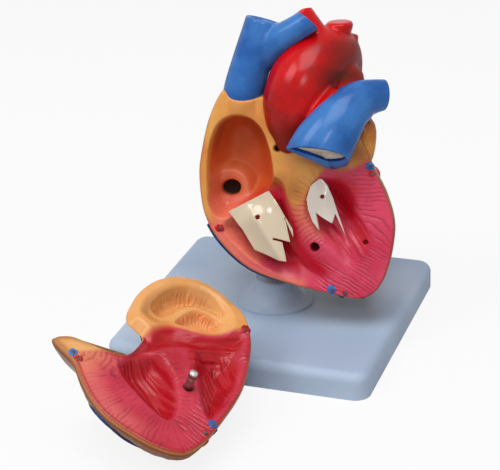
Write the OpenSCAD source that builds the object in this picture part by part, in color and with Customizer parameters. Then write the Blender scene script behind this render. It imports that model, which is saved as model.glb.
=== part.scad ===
// Human heart anatomy model on a stand, life size, with its front wall taken off.
// Origin: centre of the base plate's underside. +Z is up, and the viewer stands at -Y.
// The heart's own frame has its origin on the cut face: x runs to the right,
// y runs back into the rear half, z runs up the face.

/* [Base plate] */
// Side of the square base plate
base_w = 125; // [110:1:150]
// Thickness of the base plate
base_t = 12.6; // [10:0.1:18]
// Radius of the upright corners
base_corner_r = 7; // [6:0.5:12]
// Radius of the soft top edge
base_edge_r = 4.5; // [2:0.5:5]
// Wall of the hollow moulding
base_wall = 3; // [2:0.1:4]
// Thickness of the ribs under the plate
rib_t = 2.4; // [1.5:0.1:4]
// Outer diameter of the boss under the pedestal
boss_d = 24; // [18:1:32]

/* [Pedestal] */
// Diameter of the pedestal where it stands on the plate
pedestal_foot_d = 37; // [34:1:50]
// Diameter of the pedestal's flat top
pedestal_top_d = 19; // [15:1:24]
// Height of the pedestal above the plate
pedestal_h = 12.4; // [8:0.2:16]
// Diameter of the spigot that locates the pedestal in the plate
spigot_d = 13; // [11:0.5:16]
// Length of that spigot
spigot_l = 4; // [2:0.5:6]

/* [Support rod] */
// Diameter of the rod
rod_d = 6.4; // [5:0.1:8]
// Height of the rod's lower end above the table
rod_foot = 3.5; // [2:0.5:6]
// Height of the rod's upper end above the table
rod_top = 54; // [48:0.5:56]
// Radial clearance of the rod in its bores
rod_clearance = 0.06; // [0.02:0.01:0.1]
// Outer diameter of the collar on the rod
collar_d = 9.6; // [8:0.2:12]
// Height of the collar
collar_t = 2.6; // [1.5:0.1:4]
// Wall of the socket that takes the rod in the heart
socket_wall = 2.2; // [1.5:0.1:3]
// Height of the socket's mouth above the table
socket_foot = 41; // [40:0.5:44]

/* [Heart] */
// Width of the cut face
heart_w = 90; // [84:1:96]
// Height of the cut face, without the vessels
heart_h = 96; // [90:1:102]
// Depth of the rear half behind the cut
rear_depth = 42; // [38:1:48]
// Depth of the front wall before the cut
front_depth = 30; // [27:1:34]
// Height of the face's origin above the table
heart_z = 60; // [58:0.5:66]
// Distance of the face's origin before the rod
heart_forward = 20; // [18:0.5:22]
// Angle by which the heart leans back
heart_lean = 15; // [10:1:20]
// Angle by which the heart is turned about the rod
heart_turn = 10; // [0:1:20]
// Gap between the two cut faces when they meet
face_gap = 0.3; // [0.2:0.05:0.6]

/* [Chambers] */
// Depth of the right atrium
right_atrium_depth = 22; // [16:1:24]
// Depth of the right ventricle in the rear half
right_ventricle_depth = 11; // [8:1:12]
// Depth of the left ventricle in the rear half
left_ventricle_depth = 19; // [14:1:24]
// Depth of the left ventricle in the front wall
front_left_depth = 14; // [10:1:17]
// Depth of the right ventricle in the front wall
front_right_depth = 11; // [8:1:12]
// Depth of the outflow tract in the front wall
outflow_depth = 8; // [5:1:9]
// Depth of the right auricle in the front wall
auricle_depth = 9; // [6:1:10]
// Diameter of the vein's mouth in the right atrium
cava_mouth_d = 9.4; // [7:0.2:11]
// Thickness of the muscle ridges in the ventricles
ridge_d = 2.6; // [1.6:0.1:3.4]

/* [Vessels] */
// Diameter of the upper great vein
upper_vein_d = 19; // [17:0.5:21]
// Diameter of the aorta at its widest
aorta_d = 31; // [28:0.5:33]
// Width of the lung artery at its open end
lung_artery_w = 30; // [27:0.5:32]
// Thickness of the lip round that open end
lip_t = 2; // [1.4:0.1:3]
// Depth of the seat of the valve disc in the open end
valve_depth = 4; // [3:0.1:6]
// Thickness of the valve disc
valve_t = 1.8; // [1:0.1:2.5]
// Diameter of the lung veins at the back
lung_vein_d = 10; // [8:0.5:12]
// Diameter of the lower great vein
lower_vein_d = 15; // [12:0.5:16]
// Diameter of the coronary vessels laid on the outside
coronary_d = 3; // [2:0.1:4]

/* [Valve flaps] */
// Thickness of the soft flaps
flap_t = 1.2; // [0.8:0.1:2]
// Diameter of the bead along a flap's root
bead_d = 2.6; // [2:0.1:3.2]
// Clearance round the bead in its groove
bead_clearance = 0.35; // [0.3:0.05:0.6]
// Diameter of the small hole in each flap
flap_hole_d = 1.8; // [1.2:0.1:2.4]

/* [Locating pin and magnets] */
// Diameter of the steel pin in the front wall
pin_d = 4.3; // [3.5:0.1:5]
// Length of the pin that stands out of the wall
pin_out = 12; // [8:0.5:14]
// Length of the pin sunk in the wall
pin_in = 9; // [6:0.5:12]
// Radial clearance of the pin in its socket
pin_clearance = 0.2; // [0.1:0.05:0.4]
// Wall of the sleeve that lines the pin's socket
sleeve_wall = 1.2; // [0.8:0.1:1.6]
// Diameter of the magnet discs
magnet_d = 2.4; // [2:0.1:3]
// Thickness of the magnet discs
magnet_t = 1.6; // [1:0.1:2.5]
// Outer diameter of the vessel rings round the magnets
ring_d = 4.8; // [4:0.1:5.6]

/* [Loose front wall on the table] */
// Where the middle of the loose wall lies, to the right and to the front
wall_x = 1; // [-4:0.5:8]
// Distance from the base's middle to the middle of the loose wall
wall_y = -87; // [-100:0.5:-86]
// Height of its lowest point above the table
wall_lift = 0.1; // [0.05:0.05:0.3]
// Tilt of the loose wall about its own width
wall_tilt = 64; // [60:0.1:70]
// Roll of the loose wall
wall_roll = 4.4; // [0:0.1:8]
// Turn of the loose wall on the table
wall_turn = -111; // [-120:1:-105]

/* [Hidden] */

skin_orange = "#e8a54e";
muscle_red = "#cf4040";
vessel_blue = "#2d6cc0";
vessel_red = "#c01a1e";
flap_cream = "#efe3bf";
stand_blue = "#b4c3d6";
rod_white = "#e4e6e8";
steel_grey = "#9a9a9c";

arc = 16;               // facets of balls that are hulled
fit_gap = 0.3;          // room between a seated piece and its seat
auricle_fold_d = 3.4;   // folds on the left auricle
set_gap = 0.1;          // a set-in piece's hole is this much wider
groove_y = 0.3;         // depth of the flap beads' axes behind the face
drawn_w = 90;           // face size at which the outlines below are drawn
drawn_h = 96;
wall_proud = 1.025;     // the front wall's rim stands a little proud of the rear half's
rings = 8;              // rings of a half shell
steps = 3;              // points between two outline points

// ---- outlines on the cut face, seen from the front, as [x, z] ----
rear_outline = [[-16.6, 61.2], [-23.4, 48.3], [-27.1, 31.6], [-27.8, 19.8], [-25.2, 3.8],
    [-17, -9.7], [-3.7, -20.8], [15, -27], [33.6, -30.9], [49, -32.2], [58, -22.5],
    [62.2, -0.7], [58.7, 15.1], [52, 28], [47, 40], [38, 52], [22, 60], [4, 63], [-9, 64]];
wall_outline = [[53.5, 42.1], [46.7, 39.6], [43, 32.8], [40, 26.1], [36.9, 20.3], [32.5, 18.1],
    [26.2, 19], [20.5, 22], [20, 27], [17, 31], [10, 35.5], [1, 39], [-8, 40], [-17, 36.5],
    [-23.5, 30], [-26.2, 21], [-26.1, 11.3], [-24, 3], [-21.2, -1.8], [-15.6, -8.5],
    [-8.1, -14.5], [4.3, -22.3], [15, -26.6], [29.2, -30.3], [39.4, -32.4], [49.1, -32.2],
    [54.6, -28.6], [58.6, -22], [61.8, -12], [62.2, 0], [60.6, 10], [57.6, 20], [54.9, 29]];
right_atrium_outline = [[-14.1, 49.1], [-19.7, 44.7], [-22.4, 36.7], [-23.4, 26.1],
    [-23, 16.9], [-22.2, 9.5], [-18.5, 5.6], [-12, 8.4], [-2, 14], [4.4, 20.8], [4.6, 30],
    [2.2, 37.3], [-1.1, 43.9], [-6.1, 48.1]];
right_ventricle_outline = [[-14.5, 0], [-13, -5], [-8, -9.5], [-0.9, -15.4], [5.5, -19.2],
    [14.6, -22.7], [24, -24.8], [29.6, -23.4], [24.5, -16.3], [17.3, -7.4], [13, -1], [4, 7.5],
    [-6, 3]];
left_ventricle_outline = [[23.6, 12], [23.3, 4.5], [26.4, -0.8], [31.1, -6.7], [36.2, -12.2],
    [41.1, -15.9], [45.2, -15], [46.5, -5.5], [46.1, 1], [43.6, 9], [39, 17], [33.5, 20.4],
    [27, 19]];
front_right_ventricle = [[31, -23.6], [25, -25.6], [14.6, -23.6], [5.5, -20], [-0.9, -16],
    [-8, -9.6], [-14, -3.4], [-11, 3], [-2, 8], [8, 11], [17.3, -7.4], [24.5, -16.3]];
outflow_outline = [[-10, 1], [2.9, 4], [15.1, 9], [24.4, 14.5], [30, 17.4], [22, 19.6],
    [16, 21], [8, 18.5], [-0.7, 10.5]];
front_left_ventricle = [[29.5, 15.5], [24.4, 10.1], [23.6, 4.5], [26.4, -0.8], [31.1, -6.7],
    [36.2, -12.2], [41.1, -15.9], [45.4, -15], [46.5, -5.5], [46.1, 1], [43.4, 12], [38, 17.4]];
auricle_outline = [[8, 27], [1, 32], [-6, 32.5], [-14, 27.5], [-18, 19], [-17, 10],
    [-11, 7], [-1, 14.5], [6, 20.5]];
rear_centre = [17, 9];
wall_centre = [20, -4];

// ---- places on the cut face ----
pin_place = [25.9, -9.4];
pit_place = [49.1, -6.4];
cava_mouth_place = [-15.4, 15];
right_artery_place = [-18.6, -2.2];
front_artery_place = [39.8, -28.8];
left_artery_place = [51.6, 22];
low_vein_place = [33.4, -27.8];
pit_d = 2.6;
left_vein_place = [50, 27.4];
wall_left_artery_place = [53.6, 25.6];
wall_left_vein_place = [52.6, 31.4];
rear_artery_places = [right_artery_place, front_artery_place, left_artery_place];
rear_vein_places = [low_vein_place, left_vein_place];
wall_artery_places = [right_artery_place, front_artery_place, wall_left_artery_place];
wall_vein_places = [low_vein_place, wall_left_vein_place];

// ---- vessel routes in the heart's frame, as [x, y, z, share of the diameter] ----
upper_vein_route = [[-8, 9, 50, 1], [-8.4, 7.5, 60, 1], [-6.2, 7, 71, 1.04], [-4.6, 7, 81, 0.92],
    [-3, 8, 88, 0.84], [-1, 9, 97, 0.8]];
arm_vein_route = [[-5, 6, 70, 0.9], [1.5, 3, 78.5, 0.78], [9, 1, 84.5, 0.7], [18.5, 0, 91, 0.66]];
aorta_route = [[12.4, 5, 38, 0.62], [13.6, 4, 46, 0.82], [17, 3.5, 56, 1], [20.5, 5.5, 67, 1.01],
    [25, 10, 75, 0.93], [30, 17, 78, 0.82], [32.5, 26, 75, 0.72], [33, 33, 66, 0.64],
    [32, 37, 56, 0.6], [31, 39, 46, 0.58]];
lung_artery_route = [[27.5, -12.6, 32, 1.02], [31, -12, 39, 0.94], [35.5, -10.5, 47, 0.82],
    [40.5, -7.5, 54, 0.7], [46, -3, 58, 0.62], [56, 4, 58.8, 0.58]];
right_lung_route = [[40, 14, 60, 0.46], [28, 25, 58, 0.44], [10, 26.5, 56, 0.42],
    [-8, 25, 54, 0.42], [-20, 24, 52, 0.42]];
lung_artery_flatness = 0.76;                      // depth of the lung artery over its width
lung_artery_facing = [-0.16, -0.42, -0.89];       // way the open end looks
open_end_place = [28.4, -12.5, 33.5];             // middle of the open end
stub_top = 90;                                    // height of the artery stubs' tops

tricuspid_outline = [[-13.9, 6], [4.6, 16.2], [8.4, 11], [12.8, 3.8], [15.9, -1.1],
    [16.3, -4.8], [12.5, 3.1], [14.9, -7], [7, -5.4], [11, -6.5], [13.5, -15.6], [-1.3, -11],
    [-7, -1.9]];
mitral_outline = [[25.8, 22.4], [23.7, 18.3], [21.9, 12.7], [23.2, 6], [25.7, 1.7],
    [28.2, -0.3], [26, 8.5], [33.7, 3.9], [34.7, 8.2], [40.9, -4.4], [36, 10.1], [33.5, 18],
    [31.8, 22.4]];
tricuspid_hole_place = [0.1, 4.3];
mitral_hole_place = [29.4, 14.4];

// ---- curves ----
function spline(a, b, c, d, t) =
    0.5 * (2 * b + (c - a) * t + (2 * a - 5 * b + 4 * c - d) * t * t
           + (3 * b - a - 3 * c + d) * t * t * t);
function closed_curve(p, n) = let (m = len(p))
    [for (i = [0 : m - 1], j = [0 : n - 1])
        spline(p[(i + m - 1) % m], p[i], p[(i + 1) % m], p[(i + 2) % m], j / n)];
function open_curve(p, n) = let (m = len(p))
    [for (i = [0 : m - 2], j = [0 : i == m - 2 ? n : n - 1])
        spline(p[max(i - 1, 0)], p[i], p[i + 1], p[min(i + 2, m - 1)], j / n)];
function turning(p) = let (m = len(p))
    [for (i = [0 : m - 1]) p[i][0] * p[(i + 1) % m][1] - p[(i + 1) % m][0] * p[i][1]]
    * [for (i = [0 : m - 1]) 1];
function one_way(p) = turning(p) > 0 ? p : [for (i = [len(p) - 1 : -1 : 0]) p[i]];
function to_face(p) = [p[0] * heart_w / drawn_w, p[1] * heart_h / drawn_h];
function to_heart(p) = [p[0] * heart_w / drawn_w, p[1], p[2] * heart_h / drawn_h];
function shape(p) = one_way(closed_curve([for (q = p) to_face(q)], steps));
function drawn(p) = [for (q = p) to_face(q)];

rear_shape = shape(rear_outline);
wall_shape = one_way([for (p = shape(wall_outline))
    to_face(wall_centre) + (p - to_face(wall_centre)) * wall_proud]);

// A ring of a half shell: the outline drawn in towards its centre
function shell_share(a, steep, swell) = pow(cos(a), steep) + swell * sin(2 * a);
function shell_point(p, centre, depth, a, steep, swell, taper = 1) =
    let (q = centre + (p - centre) * shell_share(a, steep, swell))
    [q[0], depth * pow(sin(a), taper), q[1]];

// Half shell: flat face at y = 0, round back at y = depth
module half_shell(outline, centre, depth, steep = 1, swell = 0, n = rings, taper = 1) {
    m = len(outline);
    points = concat(
        [for (k = [0 : n - 1], p = outline)
            shell_point(p, centre, depth, 90 * k / n, steep, swell, taper)],
        [[centre[0], depth, centre[1]]]);
    tip = n * m;
    polyhedron(points, concat(
        [[for (i = [m - 1 : -1 : 0]) i]],
        [for (k = [0 : n - 2], i = [0 : m - 1])
            [k * m + i, k * m + (i + 1) % m, (k + 1) * m + (i + 1) % m]],
        [for (k = [0 : n - 2], i = [0 : m - 1])
            [k * m + i, (k + 1) * m + (i + 1) % m, (k + 1) * m + i]],
        [for (i = [0 : m - 1])
            [(n - 1) * m + i, (n - 1) * m + (i + 1) % m, tip]]));
}

// Hollow that opens through the face
module chamber(outline, centre, depth, steep = 0.5, n = 5) {
    translate([0, -1, 0])
        half_shell(shape(outline), to_face(centre), depth + 1, steep, 0, n);
}

// ---- frames ----
module at_heart() {
    translate([0, -heart_forward, heart_z]) rotate([-heart_lean, 0, heart_turn]) children();
}
module from_heart() {
    rotate([heart_lean, 0, 0]) rotate([0, 0, -heart_turn])
        translate([0, heart_forward, -heart_z]) children();
}
module at_wall() {
    translate([wall_x, wall_y, wall_rise]) rotate([wall_tilt, wall_roll, wall_turn]) children();
}
module on_face(place, y = 0) {
    spot = to_face(place);
    translate([spot[0], y, spot[1]]) rotate([-90, 0, 0]) children();
}

// Height of the loose wall's origin: its lowest point lies just above the table
wall_swell = 0.02;
wall_taper = 1.8;       // 1 is a round back, 2 a flatter one
wall_up = [-sin(wall_roll), cos(wall_roll) * sin(wall_tilt), cos(wall_roll) * cos(wall_tilt)];
wall_rise = wall_lift + face_gap * wall_up[1] - min([for (k = [0 : rings - 1], p = wall_shape)
    let (q = shell_point(p, to_face(wall_centre), -front_depth, 90 * k / rings, 1, wall_swell,
                         wall_taper))
    q * wall_up]);

// ---- stand ----
module corner_post() {
    rotate_extrude($fn = 40) {
        square([base_corner_r, base_t - base_edge_r]);
        square([base_corner_r - base_edge_r, base_t]);
        translate([base_corner_r - base_edge_r, base_t - base_edge_r]) intersection() {
            circle(base_edge_r, $fn = 32);
            square(base_edge_r);
        }
    }
}

module base_plate() {
    reach = base_w / 2 - base_corner_r;
    inner = base_w - 2 * base_wall;
    color(stand_blue) difference() {
        hull() for (x = [-reach, reach], y = [-reach, reach]) translate([x, y, 0]) corner_post();
        difference() {
            translate([-inner / 2, -inner / 2, -1]) cube([inner, inner, base_t - base_wall + 1]);
            translate([0, 0, -2]) cylinder(d = boss_d, h = base_t, $fn = 64);
            translate([-inner / 2 - 1, -rib_t / 2, -2]) cube([inner + 2, rib_t, base_t]);
            translate([-rib_t / 2, -inner / 2 - 1, -2]) cube([rib_t, inner + 2, base_t]);
            for (x = [-1, 1], y = [-1, 1]) translate([x * reach, y * reach, -2]) difference() {
                translate([x > 0 ? 0 : -base_corner_r, y > 0 ? 0 : -base_corner_r, 0])
                    cube([base_corner_r, base_corner_r, base_t]);
                cylinder(r = base_corner_r - base_wall, h = base_t, $fn = 40);
            }
        }
        translate([0, 0, base_t - spigot_l - fit_gap])
            cylinder(d = spigot_d + set_gap, h = spigot_l + 1, $fn = 64);
        translate([0, 0, rod_foot - fit_gap])
            cylinder(r = rod_d / 2 + rod_clearance, h = base_t, $fn = 48);
    }
}

module pedestal() {
    foot_r = pedestal_foot_d / 2;
    top_r = pedestal_top_d / 2;
    lip = 1.2;
    color(stand_blue) rotate_extrude($fn = 72) translate([0, base_t]) polygon([
        [rod_d / 2 + rod_clearance, -spigot_l],
        [spigot_d / 2, -spigot_l],
        [spigot_d / 2, 0],
        [foot_r, 0],
        [foot_r, lip],
        for (a = [0 : 15 : 90])
            [top_r + (foot_r - top_r) * (1 - sin(a)) * 0.9,
             lip + (pedestal_h - 2 * lip) * (1 - cos(a))],
        [top_r, pedestal_h - lip / 2],
        [top_r - lip / 2, pedestal_h],
        [rod_d / 2 + rod_clearance, pedestal_h]]);
}

module support_rod() {
    bevel = 0.6;
    color(rod_white) rotate_extrude($fn = 48) polygon([
        [0, rod_foot], [rod_d / 2 - bevel, rod_foot], [rod_d / 2, rod_foot + bevel],
        [rod_d / 2, rod_top - bevel], [rod_d / 2 - bevel, rod_top], [0, rod_top]]);
}

module support_collar() {
    low = base_t + pedestal_h + fit_gap;
    bevel = 0.5;
    color(rod_white) rotate_extrude($fn = 48) polygon([
        [rod_d / 2, low], [collar_d / 2 - bevel, low], [collar_d / 2, low + bevel],
        [collar_d / 2, low + collar_t - bevel], [collar_d / 2 - bevel, low + collar_t],
        [rod_d / 2, low + collar_t]]);
}

// ---- rear half ----
rear_swell = 0.08;
module rear_mass() {
    half_shell(rear_shape, to_face(rear_centre), rear_depth, 1, rear_swell);
}

socket_d = rod_d + 2 * rod_clearance + 2 * socket_wall;
socket_top = rod_top + fit_gap + socket_wall;
sleeve_d = pin_d + 2 * pin_clearance + 2 * sleeve_wall;
sleeve_l = pin_out + face_gap + 1 + sleeve_wall;

module ridge(a, b, d = ridge_d) {
    hull() {
        translate(to_heart(a)) sphere(d = d, $fn = 8);
        translate(to_heart(b)) sphere(d = d * 0.7, $fn = 8);
    }
}

module bead(from, to, r) {
    a = to_face(from);
    b = to_face(to);
    run = b - a;
    translate([a[0], groove_y, a[1]]) rotate([0, 90 - atan2(run[1], run[0]), 0])
        cylinder(r = r, h = norm(run), $fn = 32);
}
tricuspid_root = [tricuspid_outline[0], tricuspid_outline[1]];
mitral_root = [mitral_outline[0], mitral_outline[len(mitral_outline) - 1]];

module set_in(places, d, y, h) {
    for (place = places) on_face(place, y) cylinder(d = d + set_gap, h = h, $fn = 32);
}
module heart_body() {
    groove_r = bead_d / 2 + bead_clearance;
    mouth = to_face(cava_mouth_place);
    floor_y = right_atrium_depth - 6;
    color(skin_orange) at_heart() difference() {
        union() {
            difference() {
                rear_mass();
                chamber(right_atrium_outline, [-10, 27], right_atrium_depth);
                chamber(right_ventricle_outline, [7, -11], right_ventricle_depth);
                chamber(left_ventricle_outline, [35, 2], left_ventricle_depth);
                on_face(cava_mouth_place, floor_y - 6) cylinder(d = cava_mouth_d, h = 14, $fn = 24);
            }
            intersection() {
                rear_mass();
                union() {
                    for (i = [0 : 4])
                        ridge([-6 + 6 * i, 9.5, 1 - 3.4 * i], [2 + 5.4 * i, 10.5, -15 - 1.6 * i]);
                    for (i = [0 : 3])
                        ridge([28 + 3 * i, 15, 12 - 2 * i], [38 + 1.4 * i, 16, -8 - 1.2 * i]);
                }
            }
            translate([mouth[0], floor_y, mouth[1]]) rotate([-90, 0, 0])
                rotate_extrude($fn = 20) translate([cava_mouth_d / 2 + 1.6, 1])
                    circle(1.8, $fn = 8);
        }
        from_heart() cylinder(d = socket_d + set_gap, h = socket_top + set_gap, $fn = 48);
        set_in([pin_place], sleeve_d, -1, sleeve_l + set_gap + 1);
        set_in([pit_place], pit_d, -1, 5);
        set_in(concat(rear_artery_places, rear_vein_places), ring_d, -1, magnet_t + 1);
        bead(tricuspid_root[0], tricuspid_root[1], groove_r);
        bead(mitral_root[0], mitral_root[1], groove_r);
    }
}

module rod_socket() {
    bore_r = rod_d / 2 + rod_clearance;
    color(rod_white) rotate_extrude($fn = 48) polygon([
        [bore_r, socket_foot], [socket_d / 2, socket_foot], [socket_d / 2, socket_top],
        [0, socket_top], [0, rod_top + fit_gap], [bore_r, rod_top + fit_gap]]);
}

module pin_sleeve() {
    bore_r = pin_d / 2 + pin_clearance;
    color(muscle_red) at_heart() on_face(pin_place) rotate_extrude($fn = 40) polygon([
        [bore_r, 0], [sleeve_d / 2, 0], [sleeve_d / 2, sleeve_l], [0, sleeve_l],
        [0, sleeve_l - sleeve_wall], [bore_r, sleeve_l - sleeve_wall]]);
}

module ring_disc() {
    difference() {
        cylinder(d = ring_d, h = magnet_t, $fn = 32);
        translate([0, 0, -1]) cylinder(d = magnet_d + set_gap, h = magnet_t + 2, $fn = 32);
    }
}
module body_artery_rings() {
    color(vessel_red) at_heart()
        for (place = rear_artery_places) on_face(place) ring_disc();
}
module body_vein_rings() {
    color(vessel_blue) at_heart()
        for (place = rear_vein_places) on_face(place) ring_disc();
}
module body_magnets() {
    color(steel_grey) at_heart()
        for (place = concat(rear_artery_places, rear_vein_places))
            on_face(place) cylinder(d = magnet_d, h = magnet_t, $fn = 32);
}

// ---- vessels ----
module ball(p, d, flat = 1) {
    translate([p[0], p[1], p[2]]) scale([1, flat, 1]) sphere(d = d * p[3], $fn = arc);
}
function heart_route(route, n = 3) =
    open_curve([for (q = route) concat(to_heart(q), [q[3]])], n);
module vessel(route, d, flat = 1, n = 3) {
    path = heart_route(route, n);
    for (i = [0 : len(path) - 2]) hull() {
        ball(path[i], d, flat);
        ball(path[i + 1], d, flat);
    }
}
// Half space that ends a vessel: everything on the far side of p, along way
module beyond(p, way) {
    big = 80;
    spot = to_heart(p);
    translate(spot) rotate([0, acos(way[2] / norm(way)), atan2(way[1], way[0])])
        translate([-big / 2, -big / 2, 0]) cube([big, big, big]);
}

module aorta_mass() {
    vessel(aorta_route, aorta_d);
    artery_stub([26, 8, 78], [21.5, 8, stub_top + 6], 12);
    artery_stub([32, 14, 78], [33.6, 14, stub_top + 1.5], 12.5);
    artery_stub([36, 22, 74], [39, 23, stub_top - 6], 8.5);
}
module artery_stub(a, b, d) {
    from = to_heart(a);
    to = to_heart(b);
    way = to - from;
    translate(from) rotate([0, acos(way[2] / norm(way)), atan2(way[1], way[0])])
        cylinder(d = d, h = norm(way), $fn = 20);
}
module upper_vein_mass() {
    difference() {
        union() {
            vessel(upper_vein_route, upper_vein_d);
            vessel(arm_vein_route, upper_vein_d);
        }
        beyond([-8, 8, 59.4], [0.1, 0, -1]);
        beyond([-1.2, 9, 93.6], [-0.1, 0.2, 1]);
        beyond([18.6, 2, 91], [0.6, 0.3, 0.74]);
    }
}
module lung_artery_mass(grow = 0) {
    difference() {
        vessel(lung_artery_route, lung_artery_w + 2 * grow, lung_artery_flatness);
        if (grow == 0) {
            beyond(open_end_place, lung_artery_facing);
            beyond([54.2, 3.6, 58.6], [0.92, 0.35, -0.1]);
        }
    }
}

module upper_great_vein() {
    color(vessel_blue) at_heart() difference() {
        upper_vein_mass();
        rear_mass();
        aorta_mass();
    }
}
module aorta() {
    color(vessel_red) at_heart() difference() {
        aorta_mass();
        rear_mass();
        beyond([32, 39, 47], [0, 0, -1]);
    }
}
module at_open_end() {
    way = lung_artery_facing;
    aim = atan2(way[1], way[0]);
    translate(to_heart(open_end_place)) rotate([0, acos(way[2] / norm(way)), aim])
        rotate([0, 0, -aim]) children();
}
// Oval plug in the open end, from one depth to another
module open_end_plug(low, high, room = 0) {
    inner = lung_artery_w / 2 - lip_t - room;
    at_open_end() translate([0, 0, -low]) resize([2 * inner, 2 * inner * lung_artery_flatness, 0])
        cylinder(r = inner, h = low - high, $fn = 32);
}
module lung_artery() {
    color(vessel_blue) at_heart() difference() {
        lung_artery_mass();
        rear_mass();
        aorta_mass();
        open_end_plug(valve_depth, -1);
    }
}
module lung_valve() {
    slit = 0.8;
    color("#e6e6e2") at_heart() difference() {
        open_end_plug(valve_depth - fit_gap, valve_depth - fit_gap - valve_t, fit_gap);
        at_open_end() for (turn = [30, 150, 270]) rotate([0, 0, turn])
            translate([1.5, -slit / 2, -valve_depth + fit_gap + valve_t / 2])
                cube([lung_artery_w / 2 - lip_t - 4, slit, valve_t]);
    }
}
module right_lung_artery() {
    color(vessel_blue) at_heart() difference() {
        vessel(right_lung_route, lung_artery_w);
        rear_mass();
        aorta_mass();
        upper_vein_mass();
        lung_artery_mass();
        left_auricle_mass();
        beyond([-19, 24, 52], [-1, 0, 0]);
    }
}
module left_auricle_mass() {
    blobs = [[43, 10, 36, 14], [46.5, 6, 33, 10], [47.4, 5.6, 39, 10.5], [46.8, 6, 45, 11],
             [42, 9, 48, 12.5], [37, 13, 49, 13]];
    for (i = [0 : len(blobs) - 2]) hull() {
        translate(to_heart(blobs[i])) sphere(d = blobs[i][3], $fn = arc);
        translate(to_heart(blobs[i + 1])) sphere(d = blobs[i + 1][3], $fn = arc);
    }
}
module left_auricle() {
    color(skin_orange) at_heart() difference() {
        union() {
            left_auricle_mass();
            for (i = [0 : 3])
                ridge([50.4, 5, 34 + 3.6 * i], [44, 1.6, 35 + 3.6 * i], auricle_fold_d);
        }
        rear_mass();
        aorta_mass();
        lung_artery_mass();
    }
}
module vein_stub(place, way, d) {
    spot = to_heart(place);
    translate(spot) rotate([0, acos(way[2] / norm(way)), atan2(way[1], way[0])])
        translate([0, 0, -8]) cylinder(d1 = d * 1.15, d2 = d, h = 20, $fn = 24);
}
module right_lung_veins() {
    color(vessel_red) at_heart() difference() {
        union() {
            vein_stub([-12, 29, 34], [-0.8, 0.55, 0.15], lung_vein_d);
            vein_stub([-12, 29, 21], [-0.8, 0.55, -0.15], lung_vein_d);
        }
        rear_mass();
    }
}
module left_lung_veins() {
    color(vessel_red) at_heart() difference() {
        union() {
            vein_stub([42, 26, 34], [0.25, 0.95, 0.15], lung_vein_d);
            vein_stub([44, 26, 21], [0.3, 0.95, -0.15], lung_vein_d);
        }
        rear_mass();
        aorta_mass();
        left_auricle_mass();
    }
}
module lower_great_vein() {
    color(vessel_blue) at_heart() difference() {
        vein_stub([-11, 24, -4], [-0.1, 0.1, -1], lower_vein_d);
        rear_mass();
    }
}

// ---- coronary vessels on the outside, as [share round the outline, angle of depth] ----
rear_artery_track = [[0.222, 2], [0.218, 10], [0.25, 16], [0.31, 18], [0.37, 20], [0.42, 19],
    [0.445, 12], [0.447, 3]];
rear_vein_track = [[0.24, 7], [0.275, 9], [0.31, 10], [0.35, 11], [0.385, 11], [0.41, 8],
    [0.418, 2]];
wall_artery_track = [[0.55, 3], [0.57, 14], [0.62, 22], [0.7, 26], [0.76, 22], [0.8, 12]];
wall_vein_track = [[0.74, 5], [0.78, 9], [0.82, 10], [0.86, 8], [0.9, 10], [0.95, 6]];

function track_point(outline, centre, depth, swell, taper, t) =
    let (m = len(outline), s = t[0] * m, i = floor(s), f = s - i,
         p = outline[i % m] * (1 - f) + outline[(i + 1) % m] * f)
    shell_point(p, centre, depth, t[1], 1, swell, taper);
module track(outline, centre, depth, swell, taper, marks) {
    path = open_curve(
        [for (t = marks) track_point(outline, centre, depth, swell, taper, t)], 2);
    for (i = [0 : len(path) - 2]) hull() {
        translate(path[i]) sphere(d = coronary_d, $fn = 8);
        translate(path[i + 1]) sphere(d = coronary_d, $fn = 8);
    }
}

module rear_track(marks) {
    track(rear_shape, to_face(rear_centre), rear_depth, rear_swell, 1, marks);
}
module before_face() {
    translate([-100, -200, -100]) cube(200);
}

module body_coronary_arteries() {
    color(vessel_red) at_heart() difference() {
        rear_track(rear_artery_track);
        rear_mass();
        before_face();
        set_in(rear_artery_places, ring_d, -1, magnet_t + 1);
    }
}
module body_coronary_veins() {
    color(vessel_blue) at_heart() difference() {
        rear_track(rear_vein_track);
        rear_mass();
        before_face();
        set_in(rear_vein_places, ring_d, -1, magnet_t + 1);
    }
}

// ---- valve flaps ----
module flap(outline, root, hole) {
    difference() {
        union() {
            translate([0, -fit_gap, 0]) rotate([90, 0, 0])
                linear_extrude(flap_t) polygon(drawn(outline));
            bead(root[0], root[1], bead_d / 2);
        }
        on_face(hole, -10) cylinder(d = flap_hole_d, h = 20, $fn = 24);
    }
}
module tricuspid_flap() {
    color(flap_cream) at_heart() flap(tricuspid_outline, tricuspid_root, tricuspid_hole_place);
}
module mitral_flap() {
    color(flap_cream) at_heart() flap(mitral_outline, mitral_root, mitral_hole_place);
}

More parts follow.
